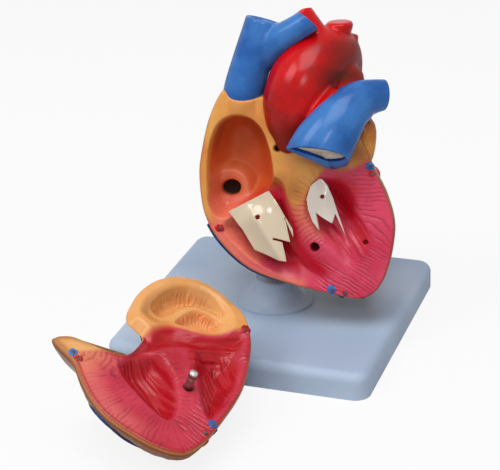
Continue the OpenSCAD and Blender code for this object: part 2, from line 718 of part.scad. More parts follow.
// ---- front wall ----
module wall_mass() {
    mirror([0, 1, 0])
        half_shell(wall_shape, to_face(wall_centre), front_depth, 1, wall_swell, rings,
                   wall_taper);
}
module wall_chamber(outline, centre, depth, steep = 0.5) {
    mirror([0, 1, 0]) chamber(outline, centre, depth, steep);
}
module front_wall() {
    color(muscle_red) at_wall() translate([0, -face_gap, 0]) difference() {
        union() {
            difference() {
                wall_mass();
                wall_chamber(front_right_ventricle, [6, -10], front_right_depth);
                wall_chamber(front_left_ventricle, [35, 2], front_left_depth);
                wall_chamber(outflow_outline, [10, 13], outflow_depth);
                wall_chamber(auricle_outline, [-5, 20], auricle_depth);
                lung_artery_mass(1);
            }
            intersection() {
                wall_mass();
                union() {
                    for (i = [0 : 4])
                        ridge([29 + 2.6 * i, 1.6 - front_left_depth, 11 - 3 * i],
                              [34 + 2.2 * i, 1.2 - front_left_depth, -3 - 2 * i]);
                    for (i = [0 : 4])
                        ridge([-7 + 5 * i, 1.6 - front_right_depth, 0 - i],
                              [3 + 4 * i, 1.2 - front_right_depth, -13 - 1.6 * i]);
                }
            }
        }
        set_in([pin_place], pin_d, -pin_in, pin_in + 1);
        set_in(concat(wall_artery_places, wall_vein_places), ring_d, -magnet_t, magnet_t + 1);
    }
}
module locating_pin() {
    bevel = 0.5;
    color(steel_grey) at_wall() translate([0, -face_gap, 0]) on_face(pin_place, 0)
        rotate_extrude($fn = 40) polygon([
            [0, -pin_in], [pin_d / 2, -pin_in], [pin_d / 2, pin_out - bevel],
            [pin_d / 2 - bevel, pin_out], [0, pin_out]]);
}
module wall_rings(places) {
    at_wall() for (place = places)
        translate([0, -face_gap, 0]) on_face(place, -magnet_t) ring_disc();
}
module wall_artery_rings() {
    color(vessel_red) wall_rings(wall_artery_places);
}
module wall_vein_rings() {
    color(vessel_blue) wall_rings(wall_vein_places);
}
module wall_magnets() {
    color(steel_grey) at_wall()
        for (place = concat(wall_artery_places, wall_vein_places))
            translate([0, -face_gap, 0]) on_face(place, -magnet_t)
                cylinder(d = magnet_d, h = magnet_t, $fn = 32);
}
module wall_track(marks) {
    track(wall_shape, to_face(wall_centre), -front_depth, wall_swell, wall_taper, marks);
}
module behind_face() {
    translate([-100, 0, -100]) cube(200);
}
module wall_coronary_arteries() {
    color(vessel_red) at_wall() translate([0, -face_gap, 0]) difference() {
        wall_track(wall_artery_track);
        wall_mass();
        behind_face();
        set_in(wall_artery_places, ring_d, -magnet_t, magnet_t + 1);
    }
}
module wall_coronary_veins() {
    color(vessel_blue) at_wall() translate([0, -face_gap, 0]) difference() {
        wall_track(wall_vein_track);
        wall_mass();
        behind_face();
        set_in(wall_vein_places, ring_d, -magnet_t, magnet_t + 1);
        wall_track(wall_artery_track);
    }
}

base_plate();
pedestal();
support_rod();
support_collar();
heart_body();
rod_socket();
pin_sleeve();
body_magnets();
body_artery_rings();
body_vein_rings();
body_coronary_arteries();
body_coronary_veins();
left_auricle();
upper_great_vein();
aorta();
lung_artery();
lung_valve();
right_lung_artery();
right_lung_veins();
left_lung_veins();
lower_great_vein();
tricuspid_flap();
mitral_flap();
front_wall();
locating_pin();
wall_magnets();
wall_artery_rings();
wall_vein_rings();
wall_coronary_arteries();
wall_coronary_veins();
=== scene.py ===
import math

import bmesh
import bpy
import numpy as np
from mathutils import Matrix, Vector
from mathutils.geometry import delaunay_2d_cdt

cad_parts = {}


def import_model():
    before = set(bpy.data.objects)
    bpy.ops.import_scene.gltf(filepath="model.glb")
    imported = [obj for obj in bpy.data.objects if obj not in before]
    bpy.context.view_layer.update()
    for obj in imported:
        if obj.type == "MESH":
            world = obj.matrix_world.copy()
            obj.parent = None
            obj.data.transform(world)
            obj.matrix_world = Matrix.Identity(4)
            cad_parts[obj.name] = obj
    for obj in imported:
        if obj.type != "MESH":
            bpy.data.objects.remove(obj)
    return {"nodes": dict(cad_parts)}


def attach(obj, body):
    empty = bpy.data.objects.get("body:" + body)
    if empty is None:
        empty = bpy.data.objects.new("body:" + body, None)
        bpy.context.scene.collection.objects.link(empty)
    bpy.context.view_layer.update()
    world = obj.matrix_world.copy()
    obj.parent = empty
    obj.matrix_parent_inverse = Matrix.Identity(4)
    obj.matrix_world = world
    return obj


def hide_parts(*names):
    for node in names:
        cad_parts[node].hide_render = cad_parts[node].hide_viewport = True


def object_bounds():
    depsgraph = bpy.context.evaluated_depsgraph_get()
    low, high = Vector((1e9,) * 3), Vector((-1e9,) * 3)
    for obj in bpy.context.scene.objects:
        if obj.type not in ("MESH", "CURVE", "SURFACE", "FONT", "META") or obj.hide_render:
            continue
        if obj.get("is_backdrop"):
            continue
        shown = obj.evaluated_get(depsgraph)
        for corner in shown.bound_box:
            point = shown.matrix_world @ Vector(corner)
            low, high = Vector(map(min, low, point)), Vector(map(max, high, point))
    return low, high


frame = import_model()
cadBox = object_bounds()
mm = 0.001

# Lengths are millimetres in the heart's own frame, as in the part's source:
# x to the right on the cut face, y back into the rear half, z up the face.
# The loose front wall has a frame like it, turned to where the wall lies.
pose = {
    "heartOrigin": (0, -20, 60),
    "heartTurns": (-15, 0, 10),
    "wallOrigin": (1, -87, 32.89),
    "wallTurns": (64, 4.4, -111),
    "faceGap": 0.3,
}


def turns(angles):
    a, b, c = [math.radians(v) for v in angles]
    spin = Matrix.Rotation(c, 3, "Z") @ Matrix.Rotation(b, 3, "Y") @ Matrix.Rotation(a, 3, "X")
    return np.array(spin)


heartSpin = turns(pose["heartTurns"])
wallSpin = turns(pose["wallTurns"])


def atHeart(p):
    return (np.asarray(p, float) @ heartSpin.T + np.array(pose["heartOrigin"])) * mm


def atWall(p):
    q = np.asarray(p, float) - np.array([0, pose["faceGap"], 0])
    return (q @ wallSpin.T + np.array(pose["wallOrigin"])) * mm


def spline(a, b, c, d, t):
    return 0.5 * (2 * b + (c - a) * t + (2 * a - 5 * b + 4 * c - d) * t * t
                  + (3 * b - a - 3 * c + d) * t ** 3)


def closedCurve(points, steps):
    p = np.array(points, float)
    n = len(p)
    return np.array([spline(p[i - 1], p[i], p[(i + 1) % n], p[(i + 2) % n], j / steps)
                     for i in range(n) for j in range(steps)])


def openCurve(points, steps):
    p = np.array(points, float)
    n = len(p)
    out = [spline(p[max(i - 1, 0)], p[i], p[i + 1], p[min(i + 2, n - 1)], j / steps)
           for i in range(n - 1) for j in range(steps)]
    return np.array(out + [p[-1]])


def oneWay(p):
    q = np.roll(p, -1, axis=0)
    return p if np.sum(p[:, 0] * q[:, 1] - q[:, 0] * p[:, 1]) > 0 else p[::-1]


def evenly(p, count):
    loop = np.vstack([p, p[:1]])
    run = np.concatenate([[0], np.cumsum(np.linalg.norm(np.diff(loop, axis=0), axis=1))])
    at = np.arange(count) * run[-1] / count
    return np.stack([np.interp(at, run, loop[:, k]) for k in range(loop.shape[1])], axis=1)


def smooth(t):
    t = np.clip(t, 0, 1)
    return t * t * (3 - 2 * t)


# From 0 before a place to 1 past it, over a width that makes the step soft.
def past(x, start, width):
    return smooth((x - start) / width)


# From 1 before a place to 0 past it: the step ends at the place.
def before(x, end, width):
    return smooth((end - x) / width)


# How far each point is from an outline, positive inside, and how far along the
# outline the nearest place lies.
def nearOutline(uv, outline):
    p = np.asarray(outline, float)
    q = np.roll(p, -1, axis=0)
    best = np.full(len(uv), 1e9)
    run = np.zeros(len(uv))
    inside = np.zeros(len(uv), bool)
    start = 0.0
    for a, b in zip(p, q):
        e = b - a
        size = math.hypot(e[0], e[1]) + 1e-9
        t = np.clip(((uv - a) @ e) / size ** 2, 0, 1)
        gap = np.hypot(uv[:, 0] - a[0] - t * e[0], uv[:, 1] - a[1] - t * e[1])
        closer = gap < best
        best[closer] = gap[closer]
        run[closer] = start + t[closer] * size
        start += size
        crosses = (a[1] > uv[:, 1]) != (b[1] > uv[:, 1])
        at = a[0] + (uv[:, 1] - a[1]) * e[0] / (e[1] if abs(e[1]) > 1e-9 else 1e-9)
        inside ^= crosses & (uv[:, 0] < at)
    return np.where(inside, best, -best), run


# 1 inside an outline and 0 outside, with a soft border.
def patch(uv, outline, soft):
    gap, _ = nearOutline(uv, closedCurve(outline, 3))
    return smooth(gap / (2 * soft) + 0.5)


# The patch of a paint's table with this name, as soft as that table says.
def paintPatch(uv, paint, name):
    return patch(uv, paint[name], paint["soft"][name])


# 1 inside a circle and 0 outside.
def spot(uv, middle, radius, soft=0.4):
    gap = radius - np.hypot(uv[:, 0] - middle[0], uv[:, 1] - middle[1])
    return smooth(gap / soft + 0.5)


# A soft oval cloud for each row of place, width, height and strength; the strongest counts.
def clouds(uv, rows):
    return np.maximum.reduce([
        share * np.exp(-((uv[:, 0] - u) / wide) ** 2 - ((uv[:, 1] - v) / high) ** 2)
        for u, v, wide, high, share in rows])


def noise2(x, y, seed, size=64):
    table = np.random.default_rng(seed).random((size, size))
    xi, yi = np.floor(x).astype(int), np.floor(y).astype(int)
    fx, fy = smooth(x - xi), smooth(y - yi)
    x0, x1, y0, y1 = xi % size, (xi + 1) % size, yi % size, (yi + 1) % size
    low = table[x0, y0] * (1 - fx) + table[x1, y0] * fx
    high = table[x0, y1] * (1 - fx) + table[x1, y1] * fx
    return low * (1 - fy) + high * fy


# Thin wavy grooves side by side that run in the along direction and break off.
def lines(across, along, spacing, length, seed, wavy, gaps, sharp):
    wander = 1.5 * wavy * noise2(across / 6, along / 5, seed + 1)
    wander = wander + 0.55 * wavy * noise2(across / 2.2, along / 2.4, seed + 2)
    ridge = (0.5 + 0.5 * np.cos(2 * math.pi * (across / spacing + wander))) ** sharp
    broken = noise2(across / (1.1 * spacing) + wander, along / length, seed + 3)
    return ridge * smooth((broken - gaps) * 6)


# Long soft folds that run at an angle, from -0.5 to 0.5.
def folds(uv, angle, across, along, seed):
    a = math.radians(angle)
    x = uv[:, 0] * math.cos(a) + uv[:, 1] * math.sin(a)
    y = -uv[:, 0] * math.sin(a) + uv[:, 1] * math.cos(a)
    bend = noise2(x / 14, y / 10, seed + 3) * 3
    n = noise2(x / along, (y + bend) / across, seed)
    m = noise2(x / along * 1.7 + 9, (y + bend) / across * 1.9, seed + 5)
    return 0.7 * n + 0.3 * m - 0.5


# A hollow that starts at its outline, gets steep at the rim and levels out inside.
def bowl(gap, depth, width, rim, power):
    e = np.maximum(gap + rim, 0)
    reach = e * e / (e + rim)
    return depth * (1 - (1 - np.clip(reach / width, 0, 1)) ** power)


def newPiece(name, points, faces, material=None, masks=None):
    mesh = bpy.data.meshes.new(name)
    mesh.from_pydata([tuple(p) for p in points], [], faces)
    piece = bpy.data.objects.new(name, mesh)
    bpy.context.scene.collection.objects.link(piece)
    editMesh(piece, faceOutward)
    mesh.polygons.foreach_set("use_smooth", [True] * len(mesh.polygons))
    for key, values in (masks or {}).items():
        addMask(piece, key, values)
    if material:
        mesh.materials.append(material)
    return piece


def editMesh(piece, change):
    bm = bmesh.new()
    bm.from_mesh(piece.data)
    change(bm)
    bm.to_mesh(piece.data)
    bm.free()


def faceOutward(bm):
    bmesh.ops.recalc_face_normals(bm, faces=bm.faces)


# Stores a number for each point, which the piece's material reads by its name.
def addMask(piece, key, values):
    layer = piece.data.attributes.new(key, "FLOAT", "POINT")
    layer.data.foreach_set("value", np.asarray(values, np.float32))


def pointsOf(piece):
    co = np.zeros(len(piece.data.vertices) * 3)
    piece.data.vertices.foreach_get("co", co)
    return co.reshape(-1, 3)


def setPoints(piece, co):
    piece.data.vertices.foreach_set("co", co.ravel())


def applyModifiers(piece):
    bpy.context.view_layer.update()
    seen = piece.evaluated_get(bpy.context.evaluated_depsgraph_get())
    mesh = bpy.data.meshes.new_from_object(seen)
    old = piece.data
    piece.modifiers.clear()
    piece.data = mesh
    bpy.data.meshes.remove(old)
    return piece


# The faces between two rings of points, whose first points have these numbers.
def ringFaces(first, second, around):
    return [(first + i, second + i, second + (i + 1) % around, first + (i + 1) % around)
            for i in range(around)]


# The faces between all neighbours of a row of rings.
def tubeFaces(rings, around):
    return [(k * around + j, k * around + (j + 1) % around, (k + 1) * around + (j + 1) % around,
             (k + 1) * around + j) for k in range(rings - 1) for j in range(around)]


# Points and faces of a closed tube along a path, flattened along the frame's y.
def sweep(path, radii, flat=1.0, sides=28):
    path = np.asarray(path, float)
    count = len(path)
    points = []
    for i in range(count):
        way = path[min(i + 1, count - 1)] - path[max(i - 1, 0)]
        way = way / max(np.linalg.norm(way), 1e-9)
        thin = np.array([0, 1.0, 0]) - way * way[1]
        if np.linalg.norm(thin) < 0.2:  # the path runs along y itself
            thin = np.array([0, 0, 1.0]) - way * way[2]
        thin = thin / np.linalg.norm(thin)
        wide = np.cross(way, thin)
        for j in range(sides):
            t = 2 * math.pi * j / sides
            points.append(path[i] + radii[i] * (math.cos(t) * wide + flat * math.sin(t) * thin))
    faces = tubeFaces(count, sides)
    faces.append(tuple(range(sides)))
    faces.append(tuple((count - 1) * sides + j for j in reversed(range(sides))))
    return points, faces


def roundBall(middle, radius):
    bm = bmesh.new()
    bmesh.ops.create_icosphere(bm, subdivisions=3, radius=radius,
                               matrix=Matrix.Translation(Vector(middle)))
    points = [tuple(v.co) for v in bm.verts]
    faces = [tuple(v.index for v in f.verts) for f in bm.faces]
    bm.free()
    return points, faces


# One smooth skin round several overlapping closed forms.
def fuse(name, forms, voxel, passes, *materials):
    points, faces = [], []
    for p, f in forms:
        base = len(points)
        points += [tuple(q) for q in p]
        faces += [tuple(base + i for i in g) for g in f]
    piece = newPiece(name, points, faces)
    remesh = piece.modifiers.new("skin", "REMESH")
    remesh.mode = "VOXEL"
    remesh.voxel_size = voxel
    remesh.use_smooth_shade = True
    relax = piece.modifiers.new("relax", "SMOOTH")
    relax.factor = 0.5
    relax.iterations = passes
    applyModifiers(piece)
    for material in materials:
        piece.data.materials.append(material)
    return piece


# Cuts a piece flat. With a lip it also sinks a bore into the cut, leaving a wall as
# thick as the lip, and gives back the ring round the bore's floor. Narrow squeezes the
# bore towards its upper side, for a vessel that is squashed at its mouth.
def cut(piece, at, way, lip=0.0, deep=3.0, inner=1, narrow=1.0, halfHigh=0.0):
    bm = bmesh.new()
    bm.from_mesh(piece.data)
    way = Vector(way).normalized()
    at = Vector(at)
    every = list(bm.verts) + list(bm.edges) + list(bm.faces)
    result = bmesh.ops.bisect_plane(bm, geom=every, plane_co=at, plane_no=way, clear_outer=True)
    rim = [e for e in result["geom_cut"] if isinstance(e, bmesh.types.BMEdge)]
    made = bmesh.ops.contextual_create(bm, geom=rim)["faces"]
    made = made or bmesh.ops.holes_fill(bm, edges=rim, sides=0)["faces"]
    ring = []
    if lip and made:
        bmesh.ops.inset_region(bm, faces=made, thickness=lip, depth=0.0, use_even_offset=True)
        front = way.cross(Vector((1, 0, 0))).normalized()
        for v in {v for f in made for v in f.verts}:
            off = (v.co - at).dot(front)
            v.co += front * ((halfHigh - off) * (1 - narrow))
        for f in made:
            f.material_index = inner
        down = bmesh.ops.extrude_face_region(bm, geom=made)["geom"]
        low = {v for v in down if isinstance(v, bmesh.types.BMVert)}
        bmesh.ops.translate(bm, verts=list(low), vec=-way * deep)
        floor = [f for f in down if isinstance(f, bmesh.types.BMFace)]
        ring = [tuple(v.co) for v in floor[0].verts]
        bmesh.ops.delete(bm, geom=made, context="FACES_ONLY")
        for f in bm.faces:
            if any(v in low for v in f.verts):
                f.material_index = inner
                f.smooth = False
    bm.normal_update()
    bm.to_mesh(piece.data)
    bm.free()
    return ring


# Moves a piece from its own frame to its place, and rides it on its body.
def place(piece, where, body, slotName, *nodes):
    setPoints(piece, where(pointsOf(piece)))
    piece.data.update()
    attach(piece, body)
    if nodes:
        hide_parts(*nodes)
    return piece


def linear(rgb):
    return tuple((v / 255 / 12.92) if v <= 10 else ((v / 255 + 0.055) / 1.055) ** 2.4
                 for v in rgb) + (1.0,)


# Adds nodes to a tree. A link is named for its socket, or i0, i1 and so on by number.
class Wiring:
    def __init__(self, tree):
        self.tree = tree

    def add(self, kind, settings=None, **links):
        node = self.tree.nodes.new(kind)
        for key, value in (settings or {}).items():
            setattr(node, key, value)
        for key, value in links.items():
            byNumber = key[0] == "i" and key[1:].isdigit()
            self.feed(node.inputs[int(key[1:]) if byNumber else key.replace("_", " ")], value)
        return node

    def feed(self, socket, value):
        if isinstance(value, bpy.types.NodeSocket):
            self.tree.links.new(value, socket)
        else:
            socket.default_value = value

    def calc(self, operation, *values):
        links = {"i" + str(i): value for i, value in enumerate(values)}
        return self.add("ShaderNodeMath", {"operation": operation}, **links).outputs[0]

    def span(self, value, low, high, to0=0.0, to1=1.0):
        return self.add("ShaderNodeMapRange", None, Value=value, From_Min=low, From_Max=high,
                        To_Min=to0, To_Max=to1).outputs[0]


# One material and what its surface needs.
class Look(Wiring):
    def __init__(self, name, **values):
        self.material = bpy.data.materials.new(name)
        self.material.use_nodes = True
        super().__init__(self.material.node_tree)
        self.shader = self.tree.nodes["Principled BSDF"]
        for key, value in values.items():
            self.shader.inputs[key.replace("_", " ")].default_value = value

    def mask(self, name):
        return self.add("ShaderNodeAttribute", {"attribute_name": name}).outputs["Fac"]

    def place(self):
        return self.add("ShaderNodeTexCoord").outputs["Object"]

    def noise(self, scale, detail=4.0):
        node = self.add("ShaderNodeTexNoise", None, Vector=self.place(), Scale=scale,
                        Detail=detail)
        return node.outputs["Fac"]

    def mix(self, share, a, b, blend="MIX"):
        node = self.add("ShaderNodeMix", {"data_type": "RGBA", "blend_type": blend}, i0=share,
                        i6=a, i7=b)
        return node.outputs[2]

    def bump(self, height, strength, distance):
        node = self.add("ShaderNodeBump", None, Height=height, Strength=strength,
                        Distance=distance)
        self.feed(self.shader.inputs["Normal"], node.outputs[0])

    def finish(self, colour, rough):
        self.feed(self.shader.inputs["Base Color"], colour)
        self.feed(self.shader.inputs["Roughness"], rough)
        return self.material


gloss = {
    "shine": 0.22,
    "roughLow": 0.16,
    "roughHigh": 0.26,
    "roughPatches": 180.0,
    "speckScale": 900.0,
    "brushScale": 420.0,
    "brushDepth": 0.00006,
    "shadeDull": 0.34,
}


# Glossy paint laid by hand in two tones, darker and duller where a shadow tone is given.
def painted(name, light, dark, cloud, shadow=None):
    look = Look(name, Specular_IOR_Level=gloss["shine"])
    tone = look.mix(look.span(look.noise(cloud, 3.0), 0.42, 0.6), linear(light), linear(dark))
    if shadow:
        tone = look.mix(look.mask("shade"), tone, linear(shadow))
    speck = look.span(look.noise(gloss["speckScale"], 2.0), 0.35, 0.7, 0.93, 1.05)
    tone = look.mix(1.0, tone, speck, "MULTIPLY")
    look.bump(look.noise(gloss["brushScale"], 5.0), 0.35, gloss["brushDepth"])
    rough = look.span(look.noise(gloss["roughPatches"]), 0.3, 0.7, gloss["roughLow"],
                      gloss["roughHigh"])
    if shadow:
        rough = look.calc("MULTIPLY_ADD", look.mask("shade"), gloss["shadeDull"], rough)
    return look.finish(tone, rough)


rearTones = {
    "muscle": (208, 64, 92),
    "muscleDark": (194, 48, 76),
    "orange": (216, 154, 80),
    "orangeDark": (202, 124, 58),
    "salmon": (222, 116, 92),
    "deep": (182, 12, 32),
    "ember": (204, 74, 32),
    # A brown painted shade, for where little light falls.
    "brown": (120, 56, 16),
    "line": (128, 10, 40),
    # The dark paint in holes, a painted shade.
    "hole": (46, 26, 22),
}
wallTones = {
    "muscle": (194, 52, 72),
    "muscleDark": (178, 36, 58),
    "orange": (226, 166, 104),
    "orangeDark": (216, 146, 78),
    "salmon": (214, 102, 98),
    "deep": (168, 8, 20),
    "ember": (216, 92, 46),
    # A brown painted shade, for where little light falls.
    "brown": (116, 54, 8),
    "line": (120, 14, 36),
    # The dark paint in holes, a painted shade.
    "hole": (46, 26, 22),
}
muscleFinish = {
    "shine": 0.28,
    "pinkClouds": 70.0,
    "orangeClouds": 45.0,
    "strokeGrain": 300.0,
    "grainScale": 330.0,
    "grainDepth": 0.00012,
    "roughPatches": 160.0,
    "roughLow": 0.2,
    "roughHigh": 0.34,
    "emberDull": 0.25,
}


# The paint of a cut face: each tone is laid over the one before where its mask says.
def musclePaint(name, tones):
    look = Look(name, Specular_IOR_Level=muscleFinish["shine"])
    c = {key: linear(value) for key, value in tones.items()}
    pinkShare = look.span(look.noise(muscleFinish["pinkClouds"], 3.0), 0.4, 0.62)
    orangeShare = look.span(look.noise(muscleFinish["orangeClouds"], 3.0), 0.4, 0.65)
    tone = look.mix(pinkShare, c["muscle"], c["muscleDark"])
    orange = look.mix(orangeShare, c["orange"], c["orangeDark"])
    tone = look.mix(look.mask("salmon"), tone, c["salmon"])
    tone = look.mix(look.mask("orange"), tone, orange)
    # Of these, the brown is a painted shade.
    for key in ("ember", "deep", "brown"):
        tone = look.mix(look.mask(key), tone, c[key])
    grain = look.span(look.noise(muscleFinish["strokeGrain"], 2.0), 0.3, 0.7, 0.35, 0.75)
    tone = look.mix(look.calc("MULTIPLY", look.mask("stroke"), grain), tone, c["line"])
    # The hole tone is a painted shade in the holes.
    tone = look.mix(look.mask("hole"), tone, c["hole"])
    look.bump(look.noise(muscleFinish["grainScale"]), 0.5, muscleFinish["grainDepth"])
    dull = look.calc("MULTIPLY_ADD", look.mask("ember"), muscleFinish["emberDull"],
                     look.mask("hole"))
    rough = look.span(look.noise(muscleFinish["roughPatches"]), 0.3, 0.7,
                      muscleFinish["roughLow"], muscleFinish["roughHigh"])
    return look.finish(tone, look.calc("ADD", rough, dull))


flapFinish = {"shine": 0.6, "softness": 0.12, "softDepth": 0.002, "grainDepth": 0.00005}
standFinish = {"shine": 0.3, "clouds": 14.0, "grainDepth": 0.00008}
steelFinish = {"light": (188, 186, 184), "dark": (120, 104, 92), "toolMarks": 900.0,
               "markDepth": 0.00003}


def vinyl(name, light, dark):
    look = Look(name, Specular_IOR_Level=flapFinish["shine"],
                Subsurface_Weight=flapFinish["softness"],
                Subsurface_Scale=flapFinish["softDepth"])
    tone = look.mix(look.span(look.noise(30.0, 2.0), 0.35, 0.65), linear(light), linear(dark))
    look.bump(look.noise(350.0, 3.0), 0.2, flapFinish["grainDepth"])
    return look.finish(tone, look.span(look.noise(200.0), 0.3, 0.7, 0.08, 0.16))


def moulded(name, light, dark, grain):
    look = Look(name, Specular_IOR_Level=standFinish["shine"])
    share = look.span(look.noise(standFinish["clouds"], 2.0), 0.4, 0.62)
    look.bump(look.noise(grain), 0.25, standFinish["grainDepth"])
    return look.finish(look.mix(share, linear(light), linear(dark)),
                       look.span(look.noise(60.0), 0.3, 0.7, 0.42, 0.56))


def steel():
    look = Look("turnedSteel", Metallic=1.0)
    rings = look.add("ShaderNodeTexWave", {"bands_direction": "Z"}, Vector=look.place(),
                     Scale=steelFinish["toolMarks"], Distortion=1.5).outputs["Fac"]
    tone = look.mix(look.span(look.noise(260.0), 0.4, 0.7), linear(steelFinish["light"]),
                    linear(steelFinish["dark"]))
    look.bump(rings, 0.15, steelFinish["markDepth"])
    return look.finish(tone, look.span(rings, 0.0, 1.0, 0.24, 0.4))


bluePaint = painted("bluePaint", (56, 114, 182), (32, 86, 156), 42.0)
veinPaint = painted("veinPaint", (28, 66, 128), (12, 36, 84), 90.0)
redPaint = painted("redPaint", (204, 6, 12), (160, 4, 6), 40.0, (84, 26, 6))
skinPaint = painted("skinPaint", (214, 146, 66), (184, 106, 40), 50.0)
# Darker paint for the faces inside the bores, a painted shade in them.
boreShadeBlue = painted("boreShadeBlue", (14, 64, 148), (10, 46, 116), 80.0)
boreShadeRed = painted("boreShadeRed", (120, 16, 20), (84, 12, 14), 80.0)
magnetMetal = painted("magnetMetal", (96, 92, 96), (54, 52, 58), 600.0)
cuspVinyl = painted("cuspVinyl", (214, 210, 200), (180, 166, 146), 90.0)
rearPaint = musclePaint("rearPaint", rearTones)
wallPaint = musclePaint("wallPaint", wallTones)
creamVinyl = vinyl("creamVinyl", (210, 194, 168), (198, 180, 152))
whiteVinyl = vinyl("whiteVinyl", (220, 210, 199), (206, 195, 183))
standPlastic = moulded("standPlastic", (172, 187, 207), (156, 173, 197), 700.0)
rodPlastic = moulded("rodPlastic", (222, 222, 218), (206, 204, 196), 900.0)
pinSteel = steel()
print("materials ready")

# The rear half, whose outlines were read off the photo's cut face.
rearHalf = {
    "outline": [(-17.4, 60.6), (-23.4, 48.3), (-27.1, 31.6), (-27.8, 19.8), (-25.2, 3.8),
                (-17, -9.7), (-3.7, -20.8), (15, -27), (33.6, -30.9), (49, -32.2), (58, -22.5),
                (62.2, -0.7), (58.7, 15.1), (52, 28), (47, 40), (38, 50), (22, 56), (8, 58.5),
                (1, 58.6), (-4, 57.4), (-9, 57), (-13.5, 58)],
    "centre": (17, 9),
    "depth": 42,
    "edgeShade": (0.6, 0.4),  # brown painted shade at the rim, and more of it at the apex
    "fade": 1.0,
    "bulge": -2.2,
    "swell": 0.08,
    "taper": 1,
    "rim": 0.9,
    "paler": 0,
    "fall": (0, 1),
    "atrium": [(-12.5, 49.6), (-18.6, 46), (-22.2, 38), (-23.6, 27), (-23.4, 16.9),
               (-22.6, 8.5), (-18.2, 3.4), (-11, 5.4), (-1, 11.4), (5.4, 18.6), (5.4, 28),
               (3.4, 37), (0, 44.4), (-5.6, 49)],
    "rightVentricle": [(-14.5, 0), (-13, -5), (-8, -9.5), (-0.9, -15.4), (5.5, -19.2),
                       (14.6, -22.7), (24, -24.8), (29.6, -23.4), (24.5, -16.3), (17.3, -7.4),
                       (15.5, 1), (9.5, 15), (-2, 8)],
    "leftVentricle": [(23.6, 12), (23.3, 4.5), (26.4, -0.8), (31.1, -6.7), (36.2, -12.2),
                      (41.1, -15.9), (45.2, -15), (46.5, -5.5), (46.1, 1), (43.6, 9), (39, 17),
                      (33.5, 20.4), (27, 19)],
    "gate": [(-5, 13), (2, 18.5), (7, 21), (11, 16), (9, 8), (3, 4), (-3, 7)],
    "veinMouth": (-15.4, 15),
    "pinHole": (25.9, -9.4),
    "pit": (49.1, -6.4),
    "arteries": [(-18.2, -2, 1.9), (40.2, -29.9, 1.4), (51.5, 25.4, 1.5)],
    "veins": [(34, -28.8, 2.0), (50.3, 28.6, 1.9)],
    "rootHole": (8.2, 35.6),
}
rearCarving = {
    "atrium": (20, 11, 1.0, 3.4),  # deep, wide, rim and how soon it levels out
    "rightFloor": (3, 7.5),        # at the apex, and what the valve's end adds
    "rightWide": 12,
    "rightRim": (3.6, 1.4),        # and how much narrower at the valve's end
    "rightPower": 2.0,
    "leftFloor": (3.5, 9.5),
    "leftWide": 13,
    "leftRim": 3.2,
    "leftPower": 1.5,
    "gate": (6.0, 4, 2.0, 2.0),
    "leftFolds": (-50, 2.1, 15, 11),  # angle, across, along, seed
    "rightFolds": (-38, 3.0, 14, 23),
    "ripples": (70, 6, 18, 31),
    "creaseDeep": 2.2,
    "rippleDeep": 0.7,
    "mouthFloor": 14.5,
    "mouthRing": (1.0, 8.6, 1.8),  # high, how far out, wide
    "mouthStep": (0.35, 5.8, 0.9),
    "mouthR": 4.75,
    "mouthDeep": 4,
    "pinHole": (1.95, 9),          # radius, deep
    "pit": (1.0, 2.5),
    "rootHole": (1.6, 3),
    "wallStrokes": (1.9, 8.0, 41, 0.4, 0.3, 5),  # spacing, length, seed, waves, gaps, sharp
    "leftStrokes": (1.7, 14.0, 47, 0.4, 0.12, 4),
    "strokeDeep": 0.28,
    "sleeveSpot": (-8.4, 7.4),     # the upper vein's foot, which the face rises to
    "sleeveR": 9.7,
}
